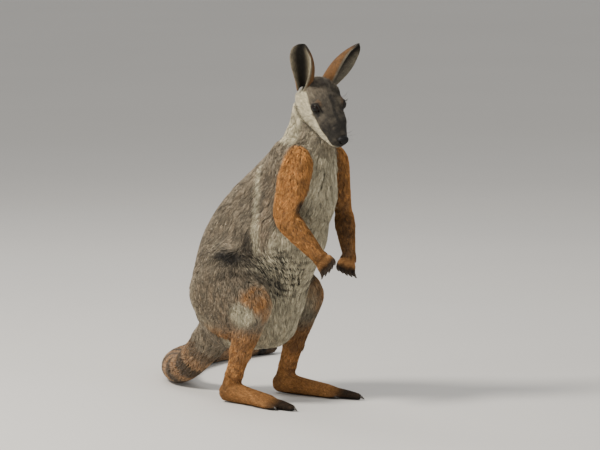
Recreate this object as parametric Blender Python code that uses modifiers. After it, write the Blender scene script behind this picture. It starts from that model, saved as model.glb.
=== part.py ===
"""A yellow-footed rock-wallaby (Petrogale xanthopus) sitting up on its hind feet, as a life-size still model.

Metres, +Z up. The animal faces -Y, its left side is +X, and it stands on the floor at z = 0 with its tail
laid out behind it. The outer faces are the tips of the coat. The body is modelled whole from lofted forms,
skinned over with a voxel remesh, and parted with thin cuts into head, neck, trunk, tail lengths and limbs.
"""

import math

import bmesh
import bpy
from mathutils import Matrix, Vector
from mathutils.bvhtree import BVHTree

# ---------------------------------------------------------------- driving dimensions
MM = 0.001
GAP = 0.4 * MM                  # width of the cut between two neighbouring pieces
SKIN_VOXEL = 2.2 * MM           # grid of the whole body's remesh
HAND_VOXEL = 1.4 * MM
BODY_TRIANGLES = 3300           # head, neck, trunk, tail and hind legs together
ARM_TRIANGLES = 520             # each arm with its hand
ORIGIN_SHIFT = Vector((-173.8, -100.3, 0.0)) * MM   # puts the middle of the whole footprint at the origin

HEAD_AT = Vector((-4, -133, 509)) * MM     # on the head's axis, a little in front of the ears
HEAD_TURN = math.radians(-16)              # the face is turned to the animal's right
HEAD_PITCH = math.radians(46)              # and points this far below level,
HEAD_TILT = math.radians(6)                # with its left side held a little higher

EYE_RADIUS = 9.2 * MM
EYE_AT = Vector((21.5, -29.7, 8.3)) * MM     # in the head's frame, left side

# Horizontal sections of the trunk and neck: height, centre y, half width, half depth, and how much wider
# the back of the section is than its front.
TRUNK_SECTIONS = [
    (92, 40, 46, 60, 0.0),
    (116, 34, 68, 84, 0.0),
    (145, 30, 82, 98, 0.0),
    (178, 27, 89, 104, 0.05),
    (220, 11, 90, 109, 0.08),
    (262, -9, 86, 117, 0.12),
    (305, -26, 79, 108, 0.16),
    (349, -54, 69, 96, 0.18),
    (376, -71, 61, 80, 0.15),
    (402, -86, 54, 65, 0.10),
    (435, -102, 41, 46, 0.05),
    (459, -109, 34, 36, 0.0),
    (483, -111, 30, 33, 0.0),
    (510, -112, 28, 31, 0.0),
]

# Sections of the head along its own axis: y (the nose is at -100), top z, bottom z, half width.
HEAD_SECTIONS = [
    (-97, 4, -15, 9),
    (-90, 9, -21, 12.5),
    (-80, 12.5, -25.5, 16.5),
    (-66, 15.5, -28, 20.5),
    (-52, 18, -31, 23.5),
    (-40, 21, -34, 24.5),
    (-29, 24.5, -36, 26),
    (-16, 27.5, -38, 27.5),
    (-2, 28.5, -38, 29),
    (11, 27, -36, 28.5),
    (22, 22, -30, 25),
    (30, 13, -21, 17),
]
# Rounded masses on the head: centre and radii in its frame, left side.
HEAD_MASSES = {
    "cheek": ((17.5, -14, -16), (14, 27, 22)),
    "jaw": ((12.5, -44, -19), (11.5, 33, 15)),
    "brow": ((17.0, -24, 15), (9.0, 15, 6.5)),
    "muzzle": ((11, -54, 4), (10, 21, 10)),
    "temple": ((18.5, -5, 13), (9.5, 16, 10)),
    "whisker_pad": ((7.5, -84, -10), (8.5, 14, 9.5)),
    "ear_root": ((19, 16, 11), (12, 13, 14)),
}
CHIN = ((0, -82, -20), (8.5, 13, 6.5))
NOSE_PAD = ((0, -96, 1), (9.6, 7, 8))

EAR_LENGTH = 93 * MM
EAR_HALF_ARC = 30 * MM          # half of the ear's width, laid flat
EAR_THICKNESS = 3.2 * MM
EAR_ROOT = Vector((15.5, 24.5, 9)) * MM     # in the head's frame, left side
# In the head's frame: along the ear, and out of its opening.
EARS = {
    "left": (Vector((0.70, 0.345, 0.533)), Vector((0.488, -0.813, 0.075))),
    "right": (Vector((-0.294, 0.242, 0.953)), Vector((-1.033, -0.335, 0))),
}

# The tail goes down to the floor behind the animal and lies round to its left: point and radius.
TAIL_STATIONS = [
    ((0, 52, 146), 42),
    ((0, 90, 116), 35),
    ((2, 126, 79), 29.5),
    ((10, 166, 47), 26.5),
    ((32, 214, 27.5), 25),
    ((76, 268, 23), 24),
    ((140, 318, 22), 23),
    ((218, 356, 21.5), 22.5),
    ((304, 380, 21), 22),
    ((388, 386, 19.5), 20.5),
    ((440, 381, 15), 16),
]
TAIL_STEPS = 4                  # steps between two stations
TAIL_CUTS = (7, 19, 29)         # the steps at which it is parted

# Each leg: hip, knee and ankle. The left one is a little further back.
LEGS = {
    "left": (Vector((44, 42, 186)), Vector((69, -47, 171)), Vector((71, 14, 27))),
    "right": (Vector((-44, 40, 188)), Vector((-78, -66, 167)), Vector((-74, 2, 27))),
}
FOOT_SPLAY = math.radians(4)

# Each arm: shoulder, elbow and wrist, then the way the hand points and the way its knuckles run.
ARMS = {
    "left": (Vector((49, -122, 398)), Vector((63, -125, 304)), Vector((24, -171, 246)),
             Vector((-0.38, 0.08, -0.92)), Vector((0.86, -0.39, -0.32)), (15, 21)),
    "right": (Vector((-48, -120, 400)), Vector((-63.5, -111.5, 309)), Vector((-45, -165, 251)),
              Vector((0.33, -0.64, -0.69)), Vector((0.19, -0.69, 0.68)), (19, 28)),
}
PALM_LENGTH = 15 * MM
FINGER_LENGTH = 19 * MM
FINGER_SPACING = 6.6 * MM
HAND_CLAW = 9.5 * MM
FOOT_CLAW = 13 * MM

# ---------------------------------------------------------------- colours
COLOURS = {
    "grey_coat": ((0.23, 0.20, 0.165, 1), 0.85),
    "face_coat": ((0.12, 0.11, 0.09, 1), 0.85),
    "rufous_coat": ((0.50, 0.22, 0.07, 1), 0.85),
    "tail_coat": ((0.33, 0.19, 0.09, 1), 0.85),
    "dark_claw": ((0.03, 0.025, 0.02, 1), 0.35),
    "eye": ((0.02, 0.012, 0.008, 1), 0.08),
    "nose_skin": ((0.02, 0.02, 0.02, 1), 0.45),
}

SIDES = (("left", 1), ("right", -1))


def material(name):
    found = bpy.data.materials.get(name)
    if found:
        return found
    made = bpy.data.materials.new(name)
    made.use_nodes = True
    colour, roughness = COLOURS[name]
    shader = made.node_tree.nodes["Principled BSDF"]
    shader.inputs["Base Color"].default_value = colour
    shader.inputs["Roughness"].default_value = roughness
    shader.inputs["Metallic"].default_value = 0.0
    return made


# ---------------------------------------------------------------- modelling helpers
def clear_scene():
    for obj in list(bpy.data.objects):
        bpy.data.objects.remove(obj)


def new_object(name, mesh, collection):
    obj = bpy.data.objects.new(name, mesh)
    collection.objects.link(obj)
    return obj


def spline_value(values, t):
    """Catmull-Rom value of a list of Vectors at t, where whole numbers are the list's own items."""
    i = min(int(t), len(values) - 2)
    f = t - i
    p0, p1 = values[max(i - 1, 0)], values[i]
    p2, p3 = values[i + 1], values[min(i + 2, len(values) - 1)]
    return 0.5 * ((2 * p1) + (p2 - p0) * f + (2 * p0 - 5 * p1 + 4 * p2 - p3) * f ** 2
                  + (3 * p1 - p0 - 3 * p2 + p3) * f ** 3)


def resampled(rows, per_span):
    """Rows of equal length, given at a few stations, as a smooth run of many rows."""
    vectors = [Vector(row) for row in rows]
    steps = per_span * (len(vectors) - 1)
    return [spline_value(vectors, k / per_span) for k in range(steps + 1)]


def add_rings(bm, rings):
    """Joins rings of equal length into a tube, closed at both ends with a point."""
    made = [[bm.verts.new(p) for p in ring] for ring in rings]
    count = len(made[0])
    for a, b in zip(made, made[1:]):
        for k in range(count):
            bm.faces.new((a[k], a[(k + 1) % count], b[(k + 1) % count], b[k]))
    for ring, order in ((made[0], -1), (made[-1], 1)):
        middle = bm.verts.new(sum((v.co for v in ring), Vector()) / count)
        for k in range(count):
            pair = (ring[k], ring[(k + 1) % count])[::order]
            bm.faces.new((*pair, middle))


def rounded_ends(frames, bulge):
    """Section frames (centre, a, b) with three smaller ones added past each end, so that the end is round."""
    def cap(frame, outward):
        centre, a, b = frame
        reach = min(a.length, b.length) * bulge
        return [(centre + outward * reach * math.sin(t), a * math.cos(t), b * math.cos(t))
                for t in (math.radians(30), math.radians(58), math.radians(80))]
    first = (frames[0][0] - frames[1][0]).normalized()
    last = (frames[-1][0] - frames[-2][0]).normalized()
    return cap(frames[0], first)[::-1] + frames + cap(frames[-1], last)


def loft(bm, frames, sides=24, bulge=0.8, egg=None):
    """A tube through section frames. egg gives, for each frame, how much wider its +b half is."""
    all_frames = rounded_ends(frames, bulge)
    eggs = [egg[0]] * 3 + egg + [egg[-1]] * 3 if egg else [0] * len(all_frames)
    rings = []
    for (centre, a, b), wide in zip(all_frames, eggs):
        angles = [2 * math.pi * k / sides for k in range(sides)]
        rings.append([centre + a * math.cos(t) * (1 + wide * math.sin(t)) + b * math.sin(t) for t in angles])
    add_rings(bm, rings)


def limb_frames(stations, side, per_span=4):
    """Section frames for stations of (point, half width, half depth). side is the way of the width."""
    rows = resampled([(*point, wide, deep) for point, wide, deep in stations], per_span)
    points = [Vector(row[:3]) for row in rows]
    frames = []
    for k, row in enumerate(rows):
        along = (points[min(k + 1, len(points) - 1)] - points[max(k - 1, 0)]).normalized()
        a = (side - along * side.dot(along)).normalized()
        frames.append((points[k], a * row[3], along.cross(a) * row[4]))
    return frames


def limb(bm, stations, side=Vector((1, 0, 0)), sides=20, bulge=0.8):
    """A tapered limb through stations in millimetres."""
    in_metres = [(Vector(point) * MM, wide * MM, deep * MM) for point, wide, deep in stations]
    loft(bm, limb_frames(in_metres, side), sides, bulge)


def ellipsoid(bm, centre, radii, frame=Matrix.Identity(4), segments=20):
    """A rounded mass, with its centre and radii in millimetres in the given frame."""
    scale = Matrix.Diagonal((*(Vector(radii) * MM), 1))
    place = frame @ Matrix.Translation(Vector(centre) * MM) @ scale
    bmesh.ops.create_uvsphere(bm, u_segments=segments, v_segments=segments // 2 + 2, radius=1, matrix=place)


def mesh_object(name, bm, collection):
    bmesh.ops.recalc_face_normals(bm, faces=bm.faces)
    mesh = bpy.data.meshes.new(name)
    bm.to_mesh(mesh)
    bm.free()
    return new_object(name, mesh, collection)


def apply_modifier(obj, kind, **settings):
    """Adds one modifier and bakes it into the object's mesh."""
    modifier = obj.modifiers.new(kind.title(), kind)
    for key, value in settings.items():
        setattr(modifier, key, value)
    graph = bpy.context.evaluated_depsgraph_get()
    made = bpy.data.meshes.new_from_object(obj.evaluated_get(graph))
    obj.modifiers.remove(modifier)
    old = obj.data
    obj.data = made
    bpy.data.meshes.remove(old)


def weight_by(obj, name, weight):
    """A vertex group whose weights are a function of a vertex's place."""
    group = obj.vertex_groups.new(name=name)
    for vertex in obj.data.vertices:
        group.add([vertex.index], weight(vertex.co), "REPLACE")


def skinned(obj, voxel, smoothing, triangles, soft):
    """Turns overlapping forms into one closed skin: remesh, smooth where soft, and thin out to triangles."""
    apply_modifier(obj, "REMESH", mode="VOXEL", voxel_size=voxel, adaptivity=0.0)
    weight_by(obj, "soft", soft)
    apply_modifier(obj, "SMOOTH", factor=0.5, iterations=smoothing, vertex_group="soft")
    obj.vertex_groups.clear()
    apply_modifier(obj, "SMOOTH", factor=0.5, iterations=3)
    obj.data.calc_loop_triangles()
    ratio = triangles / len(obj.data.loop_triangles)
    apply_modifier(obj, "DECIMATE", ratio=ratio, use_collapse_triangulate=True)


def boolean(obj, cutter, operation):
    apply_modifier(obj, "BOOLEAN", operation=operation, object=cutter, solver="EXACT")


def copy_of(obj, name, collection):
    return new_object(name, obj.data.copy(), collection)


def grown(obj, name, collection, by=GAP):
    """A copy of a closed piece, with its faces moved outward."""
    made = copy_of(obj, name, collection)
    apply_modifier(made, "DISPLACE", strength=by, mid_level=0.0)
    return made


def biggest_body(obj):
    """Keeps only the largest connected body of a mesh, dropping slivers that a cut leaves."""
    bm = bmesh.new()
    bm.from_mesh(obj.data)
    bm.verts.ensure_lookup_table()
    seen, islands = set(), []
    for start in bm.verts:
        if start in seen:
            continue
        island, todo = [], [start]
        seen.add(start)
        while todo:
            vertex = todo.pop()
            island.append(vertex)
            for edge in vertex.link_edges:
                other = edge.other_vert(vertex)
                if other not in seen:
                    seen.add(other)
                    todo.append(other)
        islands.append(island)
    islands.sort(key=len)
    bmesh.ops.delete(bm, geom=[v for island in islands[:-1] for v in island], context="VERTS")
    bm.to_mesh(obj.data)
    bm.free()


def slab(bm, centre, normal, radius):
    """A thin disc that parts a limb."""
    turn = normal.to_track_quat("Z", "Y").to_matrix().to_4x4()
    place = Matrix.Translation(centre) @ turn
    bmesh.ops.create_cone(bm, cap_ends=True, segments=24, radius1=radius, radius2=radius, depth=GAP,
                          matrix=place)


def loose_bodies(obj, collection):
    """Splits a mesh object into its connected bodies, as new objects."""
    bm = bmesh.new()
    bm.from_mesh(obj.data)
    bm.verts.ensure_lookup_table()
    seen, made = set(), []
    for start in bm.verts:
        if start.index in seen:
            continue
        island, todo = {start.index}, [start]
        while todo:
            for edge in todo.pop().link_edges:
                for vertex in edge.verts:
                    if vertex.index not in island:
                        island.add(vertex.index)
                        todo.append(vertex)
        seen |= island
        part = bm.copy()
        part.verts.ensure_lookup_table()
        outside = [v for v in part.verts if v.index not in island]
        bmesh.ops.delete(part, geom=outside, context="VERTS")
        mesh = bpy.data.meshes.new("body")
        part.to_mesh(mesh)
        part.free()
        made.append(new_object("body", mesh, collection))
    bm.free()
    return made


def holds(obj, point):
    """True if the point is inside the closed mesh, by counting the faces above it."""
    tree = BVHTree.FromPolygons([v.co for v in obj.data.vertices], [p.vertices[:] for p in obj.data.polygons])
    count, at = 0, Vector(point)
    while True:
        hit, _, _, _ = tree.ray_cast(at, Vector((0.0123, 0.0231, 1)))
        if hit is None:
            return count % 2 == 1
        count += 1
        at = hit + Vector((0.0123, 0.0231, 1)) * 1e-6


def finish_node(obj, name, slot, parts, smooth_angle=40):
    """Names a finished piece, gives it its material and puts it among the parts."""
    obj.name = obj.data.name = name
    obj.data.materials.clear()
    obj.data.materials.append(material(slot))
    obj.data.shade_smooth()
    obj.data.set_sharp_from_angle(angle=math.radians(smooth_angle))
    for collection in list(obj.users_collection):
        collection.objects.unlink(obj)
    parts.objects.link(obj)
    obj.hide_render = False


# ---------------------------------------------------------------- the forms
def head_frame():
    turn = Matrix.Rotation(HEAD_TURN, 4, "Z") @ Matrix.Rotation(HEAD_PITCH, 4, "X")
    return Matrix.Translation(HEAD_AT) @ turn @ Matrix.Rotation(-HEAD_TILT, 4, "Y")


def mirrored(point, sign):
    return Vector((point[0] * sign, point[1], point[2]))


def add_trunk(bm):
    rows = resampled(TRUNK_SECTIONS, 3)
    frames = [(Vector((0, y, z)) * MM, Vector((wide * MM, 0, 0)), Vector((0, deep * MM, 0)))
              for z, y, wide, deep, _ in rows]
    loft(bm, frames, sides=36, bulge=0.35, egg=[row[4] for row in rows])
    ellipsoid(bm, (0, -8, 128), (54, 56, 46))       # lower belly between the knees
    ellipsoid(bm, (0, -116, 350), (46, 32, 70))     # breast


def add_head(bm, frame):
    turn = frame.to_3x3()
    frames = []
    for y, top, bottom, wide in resampled(HEAD_SECTIONS, 3):
        middle, high = (top + bottom) / 2, (top - bottom) / 2
        frames.append((frame @ (Vector((0, y, middle)) * MM), turn @ Vector((wide * MM, 0, 0)),
                       turn @ Vector((0, 0, high * MM))))
    loft(bm, frames, sides=28, bulge=0.5)
    for centre, radii in HEAD_MASSES.values():
        for _, sign in SIDES:
            ellipsoid(bm, mirrored(centre, sign), radii, frame)
    ellipsoid(bm, *CHIN, frame)


def add_nape(bm, frame):
    """Fills the angle between the back of the skull and the neck."""
    back = (frame @ (Vector((0, 12, -8)) * MM)) / MM
    limb(bm, [((0, -96, 424), 38, 42), ((0, -106, 455), 32, 36), ((0, -109, 482), 29, 33), (back, 26, 27)])


def tail_line():
    """Points and radii along the tail, from inside the rump to its tip."""
    rows = resampled([(*point, radius) for point, radius in TAIL_STATIONS], TAIL_STEPS)
    return [(Vector(row[:3]) * MM, row[3] * MM) for row in rows]


def add_tail(bm):
    stations = [(point, radius, radius) for point, radius in tail_line()]
    loft(bm, limb_frames(stations, Vector((1, -0.6, 0)), per_span=1), sides=18, bulge=0.9)


def add_leg(bm, side, sign):
    hip, knee, ankle = LEGS[side]
    out = Vector((sign, 0, 0))
    ellipsoid(bm, hip + Vector((2 * sign, 9, -12)), (46, 60, 60))
    mid = hip.lerp(knee, 0.5) + Vector((6 * sign, 4, -4))
    limb(bm, [(hip + Vector((7 * sign, 0, 0)), 47, 70), (mid, 37, 58),
              (knee + Vector((0, 12, 2)), 27, 36), (knee + Vector((0, -3, -4)), 22, 25)], out, sides=28)
    calf = knee.lerp(ankle, 0.33) + Vector((0, 7, 0))
    shin = knee.lerp(ankle, 0.7) + Vector((0, 3, 0))
    limb(bm, [(knee + Vector((0, 2, 0)), 24, 27), (calf, 22, 26), (shin, 15, 17), (ankle, 14, 16)], out)
    add_foot(bm, ankle, sign)


def foot_frame(ankle, sign):
    """The foot's frame: its origin on the floor below the ankle, -Y along the toes."""
    return Matrix.Translation(Vector((ankle.x, ankle.y, 0)) * MM) @ Matrix.Rotation(sign * FOOT_SPLAY, 4, "Z")


# Each toe: name, then root, middle and tip in the foot's frame for a left foot, with a radius at each.
TOES = [
    ("toe_4", ((3, -82, 9.6), (4, -122, 7.8), (5, -151, 5.6)), (10.5, 9, 6.5)),
    ("toe_5", ((13, -72, 9.2), (18, -104, 6.8), (20, -122, 5)), (8, 7, 5)),
    ("toe_2_3", ((-7, -70, 8.6), (-9, -98, 6.2), (-9.5, -112, 5)), (7.5, 6.5, 5)),
]


def add_foot(bm, ankle, sign):
    frame = foot_frame(ankle, sign)
    turn = frame.to_3x3()
    stations = [((0, 14, 15), 12.5, 15), ((0, -2, 18), 14.5, 18), ((0, -30, 14.8), 14.5, 16),
                ((1, -60, 12.2), 16.5, 14), ((2, -88, 10.2), 17, 12), ((3, -104, 8.2), 13, 10)]
    placed = [((frame @ (mirrored(p, sign) * MM)) / MM, wide, deep) for p, wide, deep in stations]
    limb(bm, placed, turn @ Vector((1, 0, 0)), bulge=0.7)
    for _, line, radii in TOES:
        toe = [((frame @ (mirrored(p, sign) * MM)) / MM, r, r) for p, r in zip(line, radii)]
        limb(bm, toe, turn @ Vector((1, 0, 0)), sides=14, bulge=1.0)


def hand_axes(side):
    """The hand's wrist, and unit vectors along it, across its knuckles and out of its back."""
    _, _, wrist, along, across, _ = ARMS[side]
    along = along.normalized()
    across = (across - along * across.dot(along)).normalized()
    return wrist * MM, along, across, across.cross(along)


def finger_line(side, number):
    """Root, middle and tip of a finger. Numbers run from -2 to 2 across the hand."""
    wrist, along, across, back = hand_axes(side)
    spread = (along + across * 0.10 * number - back * 0.22).normalized()
    root = wrist + along * PALM_LENGTH * (0.96 - 0.05 * abs(number)) + across * FINGER_SPACING * number
    middle = root + spread * FINGER_LENGTH * 0.55
    tip = middle + (spread * 0.6 - back * 0.7).normalized() * FINGER_LENGTH * 0.5
    return root, middle, tip


def add_arm(bm, side):
    shoulder, elbow, wrist, _, _, (thick, deep) = ARMS[side]
    out = Vector((1, 0, 0)) if side == "right" else Vector((0.74, -0.67, 0))
    upper = shoulder.lerp(elbow, 0.45)
    limb(bm, [(shoulder + Vector((0, 6, 14)), thick, deep * 0.75), (shoulder, thick * 1.3, deep * 1.04),
              (upper, thick * 1.15, deep), (elbow + Vector((0, 2, 10)), thick * 0.95, deep * 0.84),
              (elbow + Vector((0, 0, -4)), thick * 0.8, deep * 0.62)], out)
    fore = elbow.lerp(wrist, 0.35)
    full = 1.18 if side == "right" else 1.0
    limb(bm, [(elbow, 16.5 * full, 18.5 * full), (fore, 15.5 * full, 17 * full),
              (elbow.lerp(wrist, 0.75), 12.5 * full, 13 * full), (wrist, 10.5 * full, 10.5 * full)],
         Vector((1, 0, 0)))
    _, along, across, _ = hand_axes(side)
    at = wrist
    palm = [(at - along * 4, 11, 10.5), (at + along * 8, 13.5, 9), (at + along * 17, 15.5, 6.5)]
    limb(bm, palm, across, sides=16, bulge=0.6)
    for number in range(-2, 3):
        root, middle, tip = (p / MM for p in finger_line(side, number))
        limb(bm, [(root, 4.2, 4.2), (middle, 3.6, 3.6), (tip, 3.1, 3.1)], across, sides=10, bulge=1.0)


def claw(name, root, along, bend, length, radius, parts):
    """A small curved claw: a tapering tube that bends as it goes. It starts inside the toe."""
    bm = bmesh.new()
    rings, here, heading, steps = [], Vector(root), along.normalized(), 3
    side = heading.cross(bend).normalized()
    for k in range(steps + 1):
        share = k / steps
        size = radius * (1 - share) ** 0.7 + 0.25 * MM
        up = side.cross(heading)
        rings.append([here + side * size * 0.75 * math.cos(t) + up * size * math.sin(t)
                      for t in (2 * math.pi * n / 5 for n in range(5))])
        heading = (heading + bend * 0.3).normalized()
        here = here + heading * length / steps
    add_rings(bm, rings)
    return mesh_object(name, bm, parts)


def ear_point(frame, share, across, outer):
    """A point of the ear's middle surface: share runs from its root to its tip, across from -1 to 1.

    The outer margin is fuller and stays wide nearer to the tip than the inner one, as on any kangaroo's ear.
    """
    fullness, climb = (1.23, 1.46) if outer else (1.0, 0.84)
    profile = fullness * math.sin(math.pi * min(1.0, 0.20 + 0.80 * share ** climb)) ** 0.58
    half_arc = EAR_HALF_ARC * max(profile, 0.05)
    half_angle = math.radians(148 - 87 * min(1.0, share * 1.24))
    radius = half_arc / half_angle
    angle = across * half_angle
    lean = 9 * MM * math.sin(math.pi * share)
    local = Vector((radius * math.sin(angle), lean - radius * (1 - math.cos(angle)), EAR_LENGTH * share))
    return frame @ local


def ear_frame(side, sign):
    """The ear's frame: z along it, and -y out of its opening."""
    head = head_frame()
    along, opening = (head.to_3x3() @ way for way in EARS[side])
    along = along.normalized()
    opening = (opening - along * opening.dot(along)).normalized()
    across = along.cross(opening)
    turn = Matrix((across, -opening, along)).transposed().to_4x4()
    root = head @ mirrored(EAR_ROOT, sign)
    return Matrix.Translation(root - along * 12 * MM) @ turn


def make_ear(side, sign, parts):
    bm = bmesh.new()
    frame, long_steps, cross_steps = ear_frame(side, sign), 11, 6
    grid = []
    for i in range(long_steps + 1):
        share = i / long_steps
        places = [2 * k / cross_steps - 1 for k in range(cross_steps + 1)]
        row = [bm.verts.new(ear_point(frame, share, place, place * sign > 0)) for place in places]
        grid.append(row)
    for a, b in zip(grid, grid[1:]):
        for k in range(cross_steps):
            bm.faces.new((a[k], a[k + 1], b[k + 1], b[k]))
    ear = mesh_object(f"ear_{side}", bm, parts)
    apply_modifier(ear, "SOLIDIFY", thickness=EAR_THICKNESS, offset=0.0, use_even_offset=False)
    return ear


# ---------------------------------------------------------------- the build
def body_softness(point):
    """How much the remeshed body is smoothed: fully on the trunk, little on the face and the feet."""
    head = (point - HEAD_AT).length
    near_head = min(1.0, max(0.12, (head - 62 * MM) / (45 * MM)))
    near_floor = min(1.0, max(0.1, (point.z - 30 * MM) / (50 * MM)))
    on_tail = 1.0 if point.y > 120 * MM else 0.0
    return min(near_head, max(near_floor, on_tail))


def make_body(work):
    bm = bmesh.new()
    frame = head_frame()
    add_trunk(bm)
    add_nape(bm, frame)
    add_head(bm, frame)
    add_tail(bm)
    for side, sign in SIDES:
        add_leg(bm, side, sign)
    body = mesh_object("body", bm, work)
    skinned(body, SKIN_VOXEL, 24, BODY_TRIANGLES, body_softness)
    return body


def make_arm(side, work):
    bm = bmesh.new()
    add_arm(bm, side)
    arm = mesh_object(f"arm_{side}", bm, work)
    wrist = ARMS[side][2] * MM
    skinned(arm, HAND_VOXEL, 10, ARM_TRIANGLES,
            lambda p: 1.0 if (p - wrist).length > 30 * MM and p.z > wrist.z else 0.0)
    return arm


def cut_flat(obj, work):
    """Flattens what reaches below the floor, so that feet and tail stand on flats at one level."""
    bm = bmesh.new()
    deep = 0.1
    place = Matrix.Translation((0, 0.1, -deep / 2)) @ Matrix.Diagonal((1.6, 1.6, deep, 1))
    bmesh.ops.create_cube(bm, size=1, matrix=place)
    floor = mesh_object("floor_cutter", bm, work)
    boolean(obj, floor, "DIFFERENCE")


def joint_cuts():
    """The thin discs that part the body: name of the far piece, a point inside it, and the disc."""
    frame = head_frame()
    cuts = [
        ("head", frame @ (Vector((0, -20, 0)) * MM), Vector((-3, -112, 478)) * MM, Vector((0, -0.71, 0.71)), 62),
        ("neck", Vector((0, -109, 462)) * MM, Vector((0, -101, 431)) * MM, Vector((0, -0.32, 0.95)), 80),
    ]
    line = tail_line()
    for number, k in enumerate(TAIL_CUTS, 1):
        along = (line[k + 1][0] - line[k - 1][0]).normalized()
        cuts.append((f"tail_{number}", line[k + 3][0], line[k][0], along, line[k][1] / MM * 1.5))
    for side, sign in SIDES:
        hip, knee, ankle = (p * MM for p in LEGS[side])
        down = (ankle - knee).normalized()
        cuts.append((f"shank_{side}", knee.lerp(ankle, 0.72), knee.lerp(ankle, 0.58), down, 40))
        inside = foot_frame(ankle / MM, sign) @ (Vector((0, -30, 14)) * MM)
        cuts.append((f"foot_{side}", inside, knee.lerp(ankle, 0.84), Vector((0, 0.2, -0.98)), 30))
    return cuts


def part_body(body, work, parts):
    """Parts the whole body with thin discs and returns its pieces by name."""
    bm = bmesh.new()
    cuts = joint_cuts()
    for _, _, centre, normal, radius in cuts:
        slab(bm, centre, normal, radius * MM)
    discs = mesh_object("disc_cutters", bm, work)
    boolean(body, discs, "DIFFERENCE")
    pieces = loose_bodies(body, work)
    found = {}
    wanted = [(name, inside) for name, inside, _, _, _ in cuts] + [("trunk", Vector((0, -5, 262)) * MM)]
    for name, inside in wanted:
        found[name] = next(piece for piece in pieces if holds(piece, inside))
    return found


def part_with(whole, name, cutter_of, work):
    """Takes out of whole what lies in an egg-shaped region, leaving a thin gap round it."""
    outer, inner = cutter_of(0.0), cutter_of(GAP)
    piece = copy_of(whole, name, work)
    boolean(piece, inner, "INTERSECT")
    boolean(whole, outer, "DIFFERENCE")
    biggest_body(piece)
    biggest_body(whole)
    return piece


def thigh_region(side, sign, work):
    """Round the haunch and knee: the thigh is what lies in it."""
    hip, knee, _ = LEGS[side]
    middle = hip.lerp(knee, 0.45) + Vector((40 * sign, 0, -20))
    tilt = math.atan2(hip.z - knee.z, hip.y - knee.y)

    def make(shrink):
        bm = bmesh.new()
        frame = Matrix.Translation(middle * MM) @ Matrix.Rotation(tilt, 4, "X")
        inset = shrink / MM
        ellipsoid(bm, (0, 0, 0), (66 - inset, 102 - inset, 90 - inset), frame, segments=16)
        return mesh_object("thigh_region", bm, work)
    return make


def eye_ball(name, sign, radius, collection):
    bm = bmesh.new()
    ellipsoid(bm, mirrored(EYE_AT / MM, sign), (radius / MM,) * 3, head_frame(), segments=12)
    return mesh_object(name, bm, collection)


def make_nose(head, work, parts):
    """The bare nose pad, set into the tip of the muzzle."""
    bm = bmesh.new()
    ellipsoid(bm, *NOSE_PAD, head_frame(), segments=12)
    nose = mesh_object("nose", bm, parts)
    boolean(nose, grown(head, "head_grown", work), "DIFFERENCE")
    biggest_body(nose)
    return nose


def cut_claws(claws, host, work):
    """Trims the claws' roots to the hand or foot that they grow from."""
    fat = grown(host, host.name + "_grown", work, 0.35 * MM)
    for one in claws:
        boolean(one, fat, "DIFFERENCE")
        biggest_body(one)


def hand_claws(side, work):
    _, _, _, back = hand_axes(side)
    made = []
    for number in range(-2, 3):
        _, middle, tip = finger_line(side, number)
        along = (tip - middle).normalized()
        root = tip - along * 0.5 * MM
        made.append(claw(f"hand_claw_{side}_{number + 3}", root, along, -back, HAND_CLAW, 2.1 * MM, work))
    return made


def foot_claws(side, sign, work):
    _, _, ankle = LEGS[side]
    frame = foot_frame(ankle, sign)
    made = []
    for name, line, radii in TOES:
        middle, tip = (frame @ (mirrored(p, sign) * MM) for p in line[1:])
        along = (tip - middle).normalized()
        down = Vector((0, 0, -0.5))
        size = radii[-1] / 6.5
        label = name.replace("toe", "claw")
        if name == "toe_2_3":     # two small grooming claws side by side
            across = frame.to_3x3() @ Vector((1, 0, 0))
            for which, offset in (("inner", -2.2), ("outer", 2.2)):
                root = tip + across * offset * sign * MM
                made.append(claw(f"{label}_{which}_{side}", root, along, down, FOOT_CLAW * 0.75, 1.9 * MM, work))
        else:
            made.append(claw(f"{label}_{side}", tip + Vector((0, 0, 1.2)) * MM, along, down,
                             FOOT_CLAW * size, 3.3 * MM * size, work))
    return made


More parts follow.
